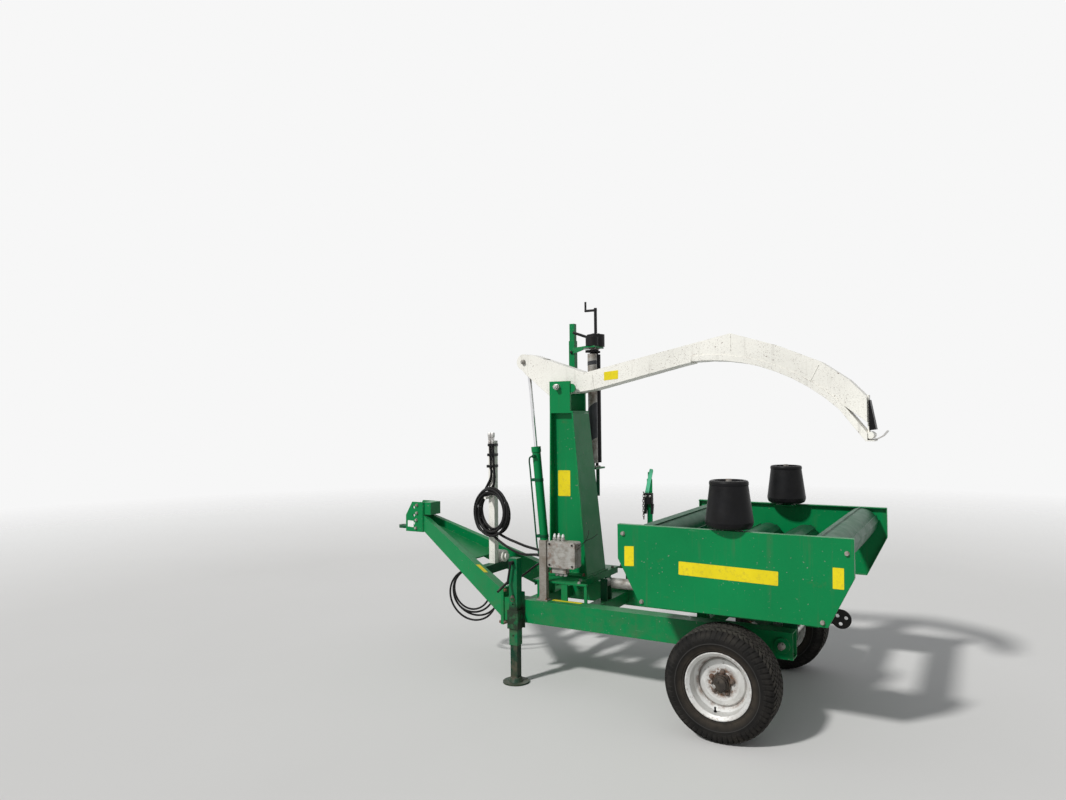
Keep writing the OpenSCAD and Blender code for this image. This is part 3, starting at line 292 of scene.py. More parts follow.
def moulded(name, colour, roughness, dust, grain):
    """Black plastic or rubber with a film of dust and rubbed places."""
    f = Finish(name)
    round_normal, edge_amount = f.edges(0.004)
    patchy = f.noise(14, 5, 0.65)
    tint = f.mix(f.span(patchy, 0.3, 0.75), shade(colour, 0.8), shade(colour, 1.7))
    rubbed = f.times(f.noise(1, 3, 0.6, f.stretch((30, 30, 5))), f.span(f.noise(5, 3), 0.45, 0.7))
    tint = f.mix(f.times(f.span(rubbed, 0.3, 0.6), 0.4), tint, shade(colour, 2.4))
    dusty = f.math("ADD", f.times(f.span(f.up, 0.1, 0.9), 0.7), 0.3)
    dusty = f.times(dusty, f.span(f.noise(9, 6, 0.7), 0.36, 0.75), dust)
    tint = f.mix(dusty, tint, DUST)
    tint = f.mix(f.times(edge_amount, 0.3), tint, shade(colour, 4.0))
    rough = f.math("ADD", f.span(patchy, 0.3, 0.7, roughness - 0.08, roughness + 0.08), f.times(dusty, 0.3))
    normal = f.bump(f.noise(420, 3, 0.7), grain, 0.0008, round_normal)
    return f.finish(tint, rough, normal, **{"Specular IOR Level": 0.12})


def from_axle(f):
    """The distance from the wheels' axis, in metres."""
    moved = f.vector("SUBTRACT", f.place, (AXLE_X, 0, AXLE_Z / 1000))[0]
    return f.vector("LENGTH", f.vector("MULTIPLY", moved, (1, 0, 1))[0])["Value"]


def tyre_finish(name):
    """Rubber with brown dust near the rim and in the grooves, and rubbed tread."""
    f = Finish(name)
    round_normal, edge_amount = f.edges(0.003)
    radius = from_axle(f)
    patchy = f.noise(12, 5, 0.65)
    tint = f.mix(f.span(patchy, 0.3, 0.75), rgb(0.0065, 0.0063, 0.006), rgb(0.017, 0.0155, 0.014))
    by_rim = f.times(f.span(radius, 0.176, 0.184), f.span(radius, 0.222, 0.192))
    by_rim = f.times(by_rim, f.span(f.noise(26, 4), 0.3, 0.6, 0.35, 1.0), 0.34)
    tint = f.mix(by_rim, tint, rgb(0.085, 0.068, 0.050))
    shoulder = f.times(f.span(radius, 0.240, 0.262), f.span(radius, 0.282, 0.268),
                       f.span(patchy, 0.4, 0.7), 0.28)
    tint = f.mix(shoulder, tint, rgb(0.075, 0.068, 0.058))
    worn = f.times(f.span(radius, 0.284, 0.290), f.span(f.noise(30, 4, 0.7), 0.3, 0.6), 0.7)
    tint = f.mix(worn, tint, rgb(0.078, 0.071, 0.060))
    bead_line = f.times(f.span(radius, 0.2195, 0.2215), f.span(radius, 0.2245, 0.2228), 0.5)
    tint = f.mix(bead_line, tint, rgb(0.07, 0.068, 0.064))
    mud = f.times(f.span(f.noise(5, 6, 0.7), 0.55, 0.75), f.span(radius, 0.19, 0.26), 0.22)
    tint = f.mix(mud, tint, rgb(0.10, 0.082, 0.06))
    relief = f.math("ADD", f.noise(420, 3, 0.7), f.times(f.noise(60, 3), 0.6))
    normal = f.bump(relief, 0.4, 0.0008, round_normal)
    tint = f.mix(f.times(edge_amount, 0.35), tint, rgb(0.05, 0.048, 0.045))
    return f.finish(tint, f.span(patchy, 0.3, 0.7, 0.62, 0.82), normal, **{"Specular IOR Level": 0.1})


def rim_finish(name):
    """Silver paint: clean on the outer slopes, brown in the corner of the well and rusty round the hub."""
    f = Finish(name)
    round_normal, edge_amount = f.edges(0.004)
    radius = from_axle(f)
    blotch = f.noise(19, 6, 0.68)
    tint = f.mix(f.span(blotch, 0.3, 0.7), rgb(0.56, 0.56, 0.54), rgb(0.68, 0.68, 0.66))
    film = f.times(f.span(f.noise(7, 4), 0.42, 0.70), 0.28)
    tint = f.mix(film, tint, rgb(0.34, 0.30, 0.24))
    brown = f.mix(f.span(f.noise(70, 4, 0.7), 0.35, 0.65), rgb(0.20, 0.105, 0.055), rgb(0.075, 0.042, 0.026))
    corner = f.times(f.span(radius, 0.122, 0.131), f.span(radius, 0.142, 0.133))
    corner = f.times(corner, f.span(f.noise(24, 5, 0.7), 0.38, 0.58), 0.75)
    hub = f.times(f.span(radius, 0.092, 0.066), f.span(f.noise(30, 5, 0.75), 0.40, 0.54))
    hub = f.math("MAXIMUM", hub, f.span(radius, 0.056, 0.050))
    splash = f.times(f.span(f.noise(44, 5, 0.7), 0.60, 0.70), 0.6)
    lip = f.times(f.span(radius, 0.158, 0.166), f.span(f.noise(33, 5, 0.75), 0.50, 0.62), 0.55)
    stains = f.math("MAXIMUM", f.math("MAXIMUM", corner, hub), f.math("MAXIMUM", splash, lip))
    tint = f.mix(stains, tint, brown)
    worn = f.times(edge_amount, f.span(f.noise(40, 4, 0.7), 0.46, 0.60), 0.8)
    tint = f.mix(worn, tint, brown)
    rough = f.math("ADD", f.span(blotch, 0.3, 0.7, 0.32, 0.5), f.times(stains, 0.35))
    shine = f.math("SUBTRACT", 0.3, f.times(stains, 0.3))
    normal = f.bump(f.noise(160, 4, 0.7), 0.2, 0.001, round_normal)
    return f.finish(tint, rough, normal, shine)


def film_plastic(name, colour, wear):
    """The sheet of a blank stuck-on plate."""
    f = Finish(name)
    cloud = f.noise(9, 4)
    tint = f.mix(f.span(cloud, 0.3, 0.7), shade(colour, 0.9), colour)
    grime = f.times(f.span(f.noise(48, 5, 0.7), 0.52, 0.72), wear)
    tint = f.mix(grime, tint, DIRT)
    rough = f.span(cloud, 0.3, 0.7, 0.32, 0.52)
    return f.finish(tint, rough, f.bump(f.noise(200, 2), 0.08, 0.0005), **{"Specular IOR Level": 0.25})


def polished(name, colour, roughness):
    """A chromed rod with a thin film of oil and dust."""
    f = Finish(name)
    haze = f.noise(1, 5, 0.65, f.stretch((40, 40, 6)))
    tint = f.mix(f.span(haze, 0.5, 0.8), colour, shade(colour, 0.55))
    rough = f.span(haze, 0.3, 0.7, roughness, roughness + 0.16)
    return f.finish(tint, rough, f.bump(f.noise(1, 2, 0.5, f.stretch((20, 20, 900))), 0.05, 0.0004), 1.0)


GREEN = rgb(0.0, 0.190, 0.053)
# painted: colour, roughness, dust, dirt, rust, chips, streaks, speckle, heights of a greased band's ends
# bare_metal: colour, roughness, metallic, stains, rust. moulded: colour, roughness, dust, grain
# film_plastic: colour, wear. polished: colour, roughness
FINISH_ROWS = (
    (painted, "green_paint", GREEN),
    (painted, "dark_green_paint", rgb(0.002, 0.075, 0.030), 0.42, 0.08, 0.75, 0.5, 0.9, 0.3),
    (painted, "white_paint", rgb(0.83, 0.81, 0.74), 0.36, 0.06, 0.3, 0.8, 1.15, 0.30, 0.85),
    (painted, "jack_green", rgb(0.001, 0.125, 0.042), 0.40, 0.25, 0.8, 0.6, 1.2, 0.5, 0.0, (0.32, 0.475)),
    (painted, "greasy_green", rgb(0.003, 0.034, 0.017), 0.40, 0.35, 0.8, 0.6, 1.2, 0.5),
    (painted, "lever_paint", rgb(0.12, 0.56, 0.32), 0.4, 0.5, 0.3, 0.5, 1.2, 0.3),
    (painted, "black_metal", rgb(0.008, 0.008, 0.0085), 0.45, 0.25, 0.4, 0.7, 1.0, 0.2),
    (bare_metal, "weathered", rgb(0.25, 0.23, 0.20), 0.6, 0.15, 0.6, 0.28),
    (bare_metal, "grey_metal", rgb(0.36, 0.35, 0.32), 0.55, 0.25, 0.65, 0.35),
    (bare_metal, "rusty_steel", rgb(0.21, 0.19, 0.17), 0.62, 0.3, 0.6, 0.95),
    (bare_metal, "oily_rust", rgb(0.022, 0.017, 0.013), 0.45, 0.1, 0.5, 0.12),
    (bare_metal, "worn_nut", rgb(0.12, 0.10, 0.085), 0.5, 0.3, 0.5, 0.4),
    (bare_metal, "bright_steel", rgb(0.55, 0.54, 0.52), 0.32, 0.85, 0.35, 0.2),
    (polished, "chrome", rgb(0.80, 0.80, 0.81), 0.12),
    (rim_finish, "rim_silver"),
    (tyre_finish, "tyre_rubber"),
    (moulded, "black_plastic", rgb(0.0048, 0.0048, 0.0055), 0.40, 0.045, 0.20),
    (moulded, "hose_rubber", rgb(0.0065, 0.0065, 0.007), 0.42, 0.10, 0.25),
    (moulded, "film_grey", rgb(0.045, 0.047, 0.052), 0.35, 0.2, 0.15),
    (film_plastic, "yellow_film", rgb(0.74, 0.60, 0.008), 0.3),
    (film_plastic, "white_film", rgb(0.78, 0.78, 0.76), 0.4),
)
FINISHES = {name: make(name, *values) for make, name, *values in FINISH_ROWS}
# The rollers take the darker green paint in place of their own finish. This is painted shade, standing for
# the shade that falls on them between the table's side plates.
FINISH_OF = {"jack_leg": "greasy_green", "jack_sleeve": "jack_green", "valve_stand": "weathered",
             **{"roller_" + str(k): "dark_green_paint" for k in (1, 2, 3, 4)}}
SLOT_OF = {part["node"]: part["material_slot"] for part in frame["record"]["subparts"]}
for name, node in nodes.items():
    node.data.materials.clear()
    node.data.materials.append(FINISHES[FINISH_OF.get(name, SLOT_OF[name])])


# Floor, backdrop and light
FLOOR_REACH = 26
FADE_FROM = 5.0
FADE_TO = 15.0
BACK = rgb(0.93, 0.93, 0.93)
SKY = rgb(0.56, 0.58, 0.61)
SKY_STRENGTH = 0.56
# Name, degrees round from +X and degrees up to the lamp, strength, size in degrees
LAMPS = (("key", -110, 40, 3.0, 5), ("fill", -20, 50, 0.1, 60))


def make_floor():
    f = Finish("floor")
    f.finish(f.mix(f.noise(0.5, 3), rgb(0.60, 0.59, 0.57), rgb(0.64, 0.63, 0.61)), 0.85)
    away = f.span(f.vector("LENGTH", f.place)["Value"], FADE_FROM, FADE_TO)
    clear = f.add("BsdfTransparent").outputs[0]
    f.feed(f.tree.nodes["Material Output"].inputs["Surface"],
           f.mix_shaders(away, f.shader.outputs[0], clear))
    bm = bmesh.new()
    bmesh.ops.create_circle(bm, cap_ends=True, radius=FLOOR_REACH, segments=64)
    mesh = bpy.data.meshes.new("floor")
    bm.to_mesh(mesh)
    bm.free()
    mesh.materials.append(f.material)
    floor = new_object("floor", mesh)


def make_world():
    world = bpy.data.worlds.new("room")
    world.use_nodes = True
    room = Nodes(world.node_tree)
    sky = room.tree.nodes["Background"]
    room.feed(sky.inputs["Color"], SKY)
    room.feed(sky.inputs["Strength"], SKY_STRENGTH)
    seen = room.add("Background", {"Color": BACK})
    rays = room.add("LightPath").outputs
    direct = room.math("MAXIMUM", rays["Is Camera Ray"], rays["Is Glossy Ray"])
    direct = room.math("MAXIMUM", direct, rays["Is Transmission Ray"])
    room.feed(room.tree.nodes["World Output"].inputs["Surface"],
              room.mix_shaders(direct, sky.outputs[0], seen.outputs[0]))
    bpy.context.scene.world = world


def make_lamps():
    for name, around, up, strength, size in LAMPS:
        data = bpy.data.lights.new(name, "SUN")
        data.energy = strength
        data.angle = math.radians(size)
        around, up = math.radians(around), math.radians(up)
        towards = Vector((math.cos(around) * math.cos(up), math.sin(around) * math.cos(up), math.sin(up)))
        new_object(name, data).rotation_euler = towards.to_track_quat("Z", "Y").to_euler()


make_floor()
make_world()
make_lamps()
bpy.context.scene.view_settings.view_transform = "Standard"


# Short calls for building meshes
def ring(middle, x, y, radius, count):
    """Points at equal steps on a circle in the plane of x and y."""
    angles = [math.tau * k / count for k in range(count)]
    return [Vector(middle) + (x * math.cos(a) + y * math.sin(a)) * radius for a in angles]


def section(inner, outer, low, high):
    """The corners of a flat band's section."""
    return (inner, low), (outer, low), (outer, high), (inner, high)


WASHER = 2.2


class Shape:
    """Collects the faces of one piece, in millimetres from the axle."""

    def __init__(self):
        self.bm = bmesh.new()

    def loft(self, rings, closed=False):
        """A closed skin through rings with the same number of points."""
        size = len(rings[0])
        count = len(rings)
        corners = [self.bm.verts.new(place(*point)) for points in rings for point in points]
        faces = []
        for i in range(count if closed else count - 1):
            low, high = i * size, (i + 1) % count * size
            for k in range(size):
                n = (k + 1) % size
                faces.append((low + k, low + n, high + n, high + k))
        if not closed:
            faces.append(range(size - 1, -1, -1))
            faces.append(range((count - 1) * size, count * size))
        for face in faces:
            self.bm.faces.new([corners[i] for i in face])

    def lathe(self, profile, at, axis, sides=24, closed=False):
        """A turned form. profile is a list of (radius, height along the axis)."""
        z = Vector(axis).normalized()
        x = z.orthogonal().normalized()
        y = z.cross(x)
        self.loft([ring(Vector(at) + z * height, x, y, radius, sides) for radius, height in profile], closed)

    def rod(self, a, b, diameter):
        axis = from_to(a, b)
        self.lathe([(diameter / 2, 0), (diameter / 2, axis.length)], a, axis, 16)

    def bolt(self, at, axis, across, washer=True, nut=False):
        """A hexagon head, or a nut with the end of its thread, on a washer that is flat on the surface."""
        point = Vector(at)
        if washer:
            wide = across * 0.62
            self.lathe([(wide, 0), (wide, WASHER), (across * 0.5, WASHER + 0.4)], at, axis, 20)
            point += Vector(axis).normalized() * WASHER
        size = across / math.sqrt(3)
        tall = across * 0.62
        self.lathe([(size, 0), (size, tall - 1.5), (size * 0.84, tall)], point, axis, 6)
        if nut:
            thread = across * 0.3
            self.lathe([(thread, 0), (thread, tall + 4), (across * 0.24, tall + 6)], point, axis, 12)

    def sweep(self, points, diameter, sides):
        """A round bar or wire along a smooth way."""
        rings = []
        side = None
        for i, point in enumerate(points):
            way = from_to(points[max(i - 1, 0)], points[min(i + 1, len(points) - 1)]).normalized()
            if side is None:
                side = way.orthogonal()
            side = (side - way * side.dot(way)).normalized()
            rings.append(ring(point, side, way.cross(side), diameter / 2, sides))
        self.loft(rings)

    def link(self, middle, across, half_width, half_height, wire, steps):
        """An upright closed ring of round wire."""
        rings = []
        for k in range(steps):
            turn = math.tau * k / steps
            out = across * math.cos(turn) + UP * math.sin(turn)
            centre = middle + across * (half_width * math.cos(turn)) + UP * (half_height * math.sin(turn))
            rings.append(ring(centre, out, across.cross(UP), wire / 2, 6))
        self.loft(rings, closed=True)

    def piece(self, name, body, slot, finish=None, bevel=0.0, sharp=32):
        bmesh.ops.recalc_face_normals(self.bm, faces=self.bm.faces)
        mesh = bpy.data.meshes.new(name)
        self.bm.to_mesh(mesh)
        self.bm.free()
        mesh.materials.append(FINISHES[finish or slot])
        piece = new_object(name, mesh)
        mesh.shade_smooth()
        mesh.set_sharp_from_angle(angle=math.radians(sharp))
        if bevel:
            rounding = piece.modifiers.new("rounding", "BEVEL")
            rounding.width = bevel / 1000
            rounding.segments = 2
            rounding.limit_method = "ANGLE"
            rounding.angle_limit = math.radians(40)
        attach(piece, body)
        return piece


# Cords. Points and sizes are those of the part's source.
HOSE_D = 18
CABLE_D = 14
COIL_MID = (-1790, -134, 1030)
COIL_R = 150
COIL_TURN = math.radians(-14)
CABLE_R = 175
CABLE_MID = (-1975, -110, 439.3)
CABLE_TURN = math.radians(10)
POST_TOP = 1530
POINTS_A_TURN = 18
# The hoses lie in seven lanes round the middle of the bundle, and move on by two lanes with each turn
LANES = 7
LANE_R = 20.7
LANE_FAN = 13
LANE_STEP = math.tau / LANES


def on_coil(mid, turn, radius, angle, out=0.0, side=0.0):
    """A point on a ring about an axis along Y, turned about Z. out and side are measured from the ring."""
    across = (radius + out) * math.cos(angle)
    return (mid[0] + across * math.cos(turn) - side * math.sin(turn),
            mid[1] + across * math.sin(turn) + side * math.cos(turn),
            mid[2] + (radius + out) * math.sin(angle))


def hose_turns(start, stop, lane, settle):
    """The turns of one hose, from start to stop degrees. It reaches its lane after settle of a turn. The
    lanes lie close at the top and hang further apart below."""
    count = round(abs(stop - start) / 360 * POINTS_A_TURN)
    points = []
    for i in range(count + 1):
        travelled = (start - stop) * i / count / 360
        phase = math.radians(30) - (lane + 2 * travelled) * LANE_STEP
        ease = min(1.0, (travelled + 0.02) / settle)
        angle = math.radians(start) - travelled * math.tau
        apart = LANE_R + LANE_FAN * (1 - math.sin(angle)) / 2
        radius = apart * ease * ease * (3 - 2 * ease)
        points.append(on_coil(COIL_MID, COIL_TURN, COIL_R, angle,
                              radius * math.cos(phase), radius * math.sin(phase)))
    return points


def cable_turns(start, stop, width):
    """Turns side by side on a hook, each of its own size, which hang further apart below than above."""
    count = round(abs(stop - start) / 360 * POINTS_A_TURN)
    points = []
    for i in range(count + 1):
        part = i / count
        turns = (stop - start) * part / 360
        angle = math.radians(start) + turns * math.tau
        low = (1 - math.sin(angle)) / 2
        radius = CABLE_R - 18 + 19 * math.sin(2.3 * turns + 0.4)
        middle = (CABLE_MID[0], CABLE_MID[1], CABLE_MID[2] + CABLE_R - radius)
        x, y, z = on_coil(middle, CABLE_TURN, radius, angle, 0, (part - 0.5) * width * (0.76 + 0.6 * low))
        points.append((x + 34 * math.sin(1.9 * turns) * low, y, z))
    return points


def smooth(points, per_span=6):
    """A finer run of points through the given ones."""
    fine = []
    ends = [points[0]] + list(points) + [points[-1]]
    for a, b, c, d in zip(ends, ends[1:], ends[2:], ends[3:]):
        a, b, c, d = Vector(a), Vector(b), Vector(c), Vector(d)
        for i in range(per_span):
            t = i / per_span
            fine.append(0.5 * (2 * b + (c - a) * t + (2 * a - 5 * b + 4 * c - d) * t * t
                               + (3 * b - a - 3 * c + d) * t * t * t))
    fine.append(Vector(points[-1]))
    return fine


def cord(name, points, diameter, stands_for):
    fine = smooth(points)
    data = bpy.data.curves.new(name, "CURVE")
    data.dimensions = "3D"
    data.bevel_depth = diameter / 2000
    data.bevel_resolution = 3
    data.use_fill_caps = True
    spline = data.splines.new("POLY")
    spline.points.add(len(fine) - 1)
    for point, at in zip(spline.points, fine):
        point.co = (*place(*at), 1)
    data.materials.append(FINISHES["hose_rubber"])
    piece = new_object(name, data)
    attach(piece, "frame")
    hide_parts(*stands_for)


def make_fitting(name, at, towards, profiles, slot="grey_metal", finish="bright_steel"):
    """Turned parts on the end of a cord. profiles has the sides and the profile of each."""
    shape = Shape()
    for sides, profile in profiles:
        shape.lathe(profile, at, towards, sides)
    return shape.piece(name, "frame", slot, finish)


# A quick coupling: its tail, hexagon, sleeve and the ring round the sleeve
COUPLING = ((24, [(9.6, -38), (11.6, -34), (11.6, -4), (9, 0), (9, 8)]),
            (6, [(13, 8), (13, 24)]),
            (24, [(10, 24), (14.5, 26), (14.5, 54), (12.5, 58), (8.5, 58), (8.5, 50)]),
            (24, [(15.5, 34), (15.5, 44)]))
# The nut and the crimped, tapered sleeve where a hose is screwed in
FERRULE = ((6, [(15, 0), (15, 14)]), (18, [(11, 14), (12.5, 16), (12.5, 50), (11, 56), (9.6, 70)]))
CONNECTOR = ((24, [(7.2, -34), (11, -16), (11, 0), (16, 3), (16, 38), (14, 42)]),)
GLAND = ((6, [(13, 0), (13, 10)]), (18, [(11, 10), (11, 16), (7.6, 36)]))

RUN_A = [(-1225, -310, 820), (-1290, -290, 820), (-1340, -270, 820), (-1390, -245, 820), (-1440, -215, 820),
         (-1490, -190, 822), (-1540, -169, 828), (-1590, -156, 838), (-1640, -150, 850), (-1690, -146, 866),
         (-1740, -142, 884)]
RUN_B = [(-1225, -336, 796), (-1310, -314, 796), (-1380, -284, 788), (-1440, -254, 778), (-1490, -228, 774),
         (-1540, -204, 776), (-1590, -185, 784), (-1640, -170, 798), (-1690, -158, 818), (-1740, -148, 842),
         (-1790, -136, 868)]
POST_RUN = [(-1822, -106, 1390), (-1827, -102, 1440), (-1832, -98, 1490), (-1834, -97, POST_TOP)]
RISE_A = [(-1840, -97, 1241), (-1823, -102, 1277), (-1816, -107, 1310), (-1818, -110, 1345)] + POST_RUN
RISE_B = [(-1832, -96, 1181), (-1803, -100, 1219), (-1793, -104, 1265), (-1792, -107, 1305),
          (-1794, -109, 1345)] + [(x + 24, y + 1, z) for x, y, z in POST_RUN]
CABLE_ROUTE = [(-1225, -322, 766), (-1260, -312, 763), (-1310, -292, 746), (-1380, -264, 706),
               (-1460, -240, 652), (-1540, -220, 600), (-1620, -200, 560), (-1700, -178, 540),
               (-1780, -152, 541), (-1840, -140, 567)]
# Name, run, turns, rise and the nodes that each hose stands for
HOSES = (("a", RUN_A, hose_turns(-96, -1294, 0, 0.35), RISE_A, ["hose_run_a", "hose_coil", "hose_rise_a"]),
         ("b", RUN_B, hose_turns(-114, -950, 1, 0.05), RISE_B, ["hose_run_b", "hose_rise_b"]))
couplings = [make_fitting("hose_coupling_" + letter, rise[-1], (0, 0.02, 1), COUPLING)
             for letter, run, turns, rise, stands_for in HOSES]
ferrules = [make_fitting("hose_ferrule_" + letter, run[0], from_to(*run[:2]), FERRULE)
            for letter, run, turns, rise, stands_for in HOSES]
for (letter, run, turns, rise, stands_for), *ends in zip(HOSES, couplings, ferrules):
    cord("hydraulic_hose_" + letter, run + turns + rise, HOSE_D, stands_for)
loops = cable_turns(64, 64 + 360 * 4 - 30, 88)
connector = make_fitting("cable_connector", loops[-1], from_to(*loops[-2:]), CONNECTOR,
                         "black_plastic", None)
gland = make_fitting("cable_gland", CABLE_ROUTE[0], from_to(*CABLE_ROUTE[:2]), GLAND, "black_plastic", None)
cord("control_cable", CABLE_ROUTE + loops, CABLE_D, ["cable_coil", "cable_run"])

STRAP_THICK = 2.2
STRAP_HALF = 9


def make_straps():
    """Straps that hold the two hoses to their post."""
    straps = Shape()
    for z in (1350, 1430, 1500):
        y = -95 - (POST_TOP - z) * 0.105
        loop = [(-1856.5, -36), (-1805.5, -36), (-1797, -60), (-1794, y - 6), (-1802, y - 14),
                (-1836, y - 14), (-1846, y - 6), (-1856.5, -60)]
        middle = Vector((-1826, (y - 50) / 2))
        rings = []
        for x, y_at in loop:
            out = (Vector((x, y_at)) - middle).normalized()
            rings.append([(x + out.x * t, y_at + out.y * t, z + height)
                          for t, height in section(0, STRAP_THICK, -STRAP_HALF, STRAP_HALF)])
        straps.loft(rings, closed=True)
    straps.piece("hose_straps", "frame", "black_plastic")


make_straps()

# Tyres: a carcass with the tread blocks of a turf tyre
TYRE_R = 295
TYRE_HALF = 120
WHEEL_Y = 680
RIM_R = 175
DISC_FACE = 18
BLOCKS_ROUND = 60
GROOVE = 8
# Places across the tread, and the outer radius there
CROWN = [(0, TYRE_R), (70, TYRE_R), (94, TYRE_R - 8), (112, TYRE_R - 22), (TYRE_HALF, TYRE_R - 50)]


def crown_radius(y):
    y = abs(y)
    for (y0, r0), (y1, r1) in zip(CROWN, CROWN[1:]):
        if y <= y1:
            return r0 + (r1 - r0) * (y - y0) / (y1 - y0)
    return CROWN[-1][1]


def on_wheel(side, angle, radius, across):
    return (radius * math.cos(angle), side * (WHEEL_Y + across), AXLE_Z + radius * math.sin(angle))


def make_tyre(side, name, body):
    shape = Shape()
    flank = [(RIM_R - 14, -84), (RIM_R + 3, -96), (RIM_R + 8, -101), (RIM_R + 13, -101), (RIM_R + 17, -106),
             (RIM_R + 34, -113), (RIM_R + 43, -116), (RIM_R + 45.5, -118.4), (RIM_R + 48.5, -118.4),
             (RIM_R + 51, -116.6), (241, -118.3), (252, -114), (263, -106), (TYRE_R - 17, -93)]
    crown = [(TYRE_R - GROOVE, y) for y in range(-70, 71, 20)]
    outline = flank + crown + [(r, -y) for r, y in reversed(flank)]
    inside = [(RIM_R - 10, 60), (RIM_R - 10, -60)]
    shape.lathe(outline + inside, (0, side * WHEEL_Y, AXLE_Z), (0, side, 0), 120, closed=True)
    # low, high: places across the tread; skew: how far a block leans along it; start: its place in the step
    rows = [(-118.5, -93, 0.16, 0.1), (-90, -66, -0.26, 0.55), (-62, -40, 0.26, 0.05),
            (-36, -14, -0.26, 0.5), (-10, 10, 0.3, 0.0), (14, 36, -0.26, 0.5), (40, 62, 0.26, 0.05),
            (66, 90, -0.26, 0.55), (93, 118.5, 0.16, 0.1)]
    step = math.tau / BLOCKS_ROUND
    for low, high, skew, start in rows:
        for k in range(BLOCKS_ROUND):
            first = (k + start) * step
            rings = []
            for sink, swell in ((GROOVE + 4, 0.05), (0.0, 0.0)):
                corners = []
                for across, along in ((low, -0.33), (high, -0.33), (high, 0.33), (low, 0.33)):
                    lean = skew if across == high else -skew
                    angle = first + step * (0.33 + along * (1 + swell * 2) + lean)
                    corners.append(on_wheel(side, angle, crown_radius(across) - sink, across))
                rings.append(corners)
            shape.loft(rings)
    piece = shape.piece(name, body, "tyre_rubber", sharp=28)
    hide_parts("tyre_l" if side < 0 else "tyre_r")


STUDS = 5
STUD_R = 58
FIRST_STUD = math.radians(12)
VALVE_ANGLE = math.radians(-101)


def make_wheel_trim(side, suffix, body):
    """Hub cap, studs with their nuts, and the tyre's valve."""
    axis = (0, side, 0)
    middle = (0, side * WHEEL_Y, AXLE_Z)
    hub = Shape()
    hub.lathe([(46.6, DISC_FACE - 1), (47, 27), (44, 30.8), (40, 31), (39.6, 49.5), (34.4, 50), (32.6, 60.6),
               (29, 61.6), (0.5, 61.8)], middle, axis, 40)
    hub.lathe([(52, DISC_FACE + 0.2), (52, DISC_FACE + 3), (45, DISC_FACE + 5)], middle, axis, 40)
    for k in range(STUDS):
        angle = FIRST_STUD + math.tau * (k + 0.5) / STUDS
        hub.rod(on_wheel(side, angle, 44, DISC_FACE), on_wheel(side, angle, 44, DISC_FACE + 15), 20)
    hub.bolt(on_wheel(side, 2.2, 18, 61), axis, 12, washer=False)
    hub.piece("hub_cap_" + suffix, body, "rusty_steel", "oily_rust")
    nuts = Shape()
    for k in range(STUDS):
        at = on_wheel(side, FIRST_STUD + math.tau * k / STUDS, STUD_R, DISC_FACE + 0.2)
        nuts.lathe([(14.5, 0), (14.5, 2.4), (12.6, 4)], at, axis, 24)
        nuts.bolt(Vector(at) + Vector(axis) * 3, axis, 21, washer=False, nut=True)
    nuts.piece("wheel_nuts_" + suffix, body, "rusty_steel", "worn_nut")
    bright = Shape()
    bright.bolt(on_wheel(side, math.radians(205), 34, 49.6), axis, 19)
    bright.piece("hub_plug_" + suffix, body, "bright_steel")
    valve = Shape()
    foot = Vector(on_wheel(side, VALVE_ANGLE, 149, 50))
    inwards = Vector(on_wheel(side, VALVE_ANGLE, 118, 70)) - foot
    valve.lathe([(8.5, -3), (8.5, 2), (5, 6), (4.5, 22), (5.4, 23), (5.4, 34), (4, 36)], foot, inwards, 14)
    valve.piece("tyre_valve_" + suffix, body, "black_plastic")


for side, suffix in SIDES:
    make_tyre(side, "turf_tyre_" + suffix, "wheel_" + suffix)
    make_wheel_trim(side, suffix, "wheel_" + suffix)


# Blank stuck-on plates
def make_sign(name, body, low_left, low_right, top_left, facing, slot="green_paint", finish="yellow_film"):
    """A thin plate with rounded corners on a flat face, given by three corners and the way it faces."""
    u = from_to(low_left, low_right)
    v = from_to(low_left, top_left)
    width, height = u.length, v.length
    u.normalize()
    v.normalize()
    n = Vector(facing).normalized()
    cut = min(width, height) * 0.06
    outline = []
    for cx, cy, start in ((width - cut, cut, -90), (width - cut, height - cut, 0), (cut, height - cut, 90),
                          (cut, cut, 180)):
        for k in range(5):
            angle = math.radians(start + 90 * k / 4)
            outline.append((cx + cut * math.cos(angle), cy + cut * math.sin(angle)))
    shape = Shape()
    shape.loft([[Vector(low_left) + u * a + v * b + n * d for a, b in outline] for d in (0.3, 1.2)])
    shape.piece(name, body, slot, finish)


TABLE_HALF = 732
TURN_X = 47
HEAD_HALF = 72
MAST_HALF = 75
ARM_HALF = 65
BEAM_Y = 370
BEAM_TOP = 522
# Name, and the (X, Z) of the lower left, lower right and upper left corners on the left side plate
TABLE_PLATES = [("front", (-530, 863), (-474, 866), (-529, 972)),
                ("rear", (564, 846), (616, 846), (565, 949)),
                ("long", (-217, 843), (304, 834), (-215, 914))]
for name, *corners in TABLE_PLATES:
    make_sign("table_plate_" + name + "_l", "table", *[(x, -TABLE_HALF, z) for x, z in corners], LEFT)
make_sign("mast_plate_l", "frame", (-1296, -MAST_HALF, 1159), (-1204, -MAST_HALF, 1161),
          (-1296, -MAST_HALF, 1332), LEFT)
make_sign("arm_plate", "cutter_arm", (-951, -ARM_HALF, 1931), (-850, -ARM_HALF, 1940),
          (-950, -ARM_HALF, 1987), LEFT, "white_paint")
make_sign("beam_plate", "frame", (-1199, -358, BEAM_TOP), (-993, -358, BEAM_TOP),
          (-1199, -328, BEAM_TOP), UP)
make_sign("drawbar_plate", "frame", (-1822.5, -299.3, 687), (-1732.5, -333.5, 647.8),
          (-1812.5, -268.1, 682.6), (0.399, 0, 0.917))
make_sign("hitch_plate", "frame", (-2602, -HEAD_HALF, 873), (-2546, -HEAD_HALF, 870),
          (-2601, -HEAD_HALF, 921), LEFT, finish="white_film")


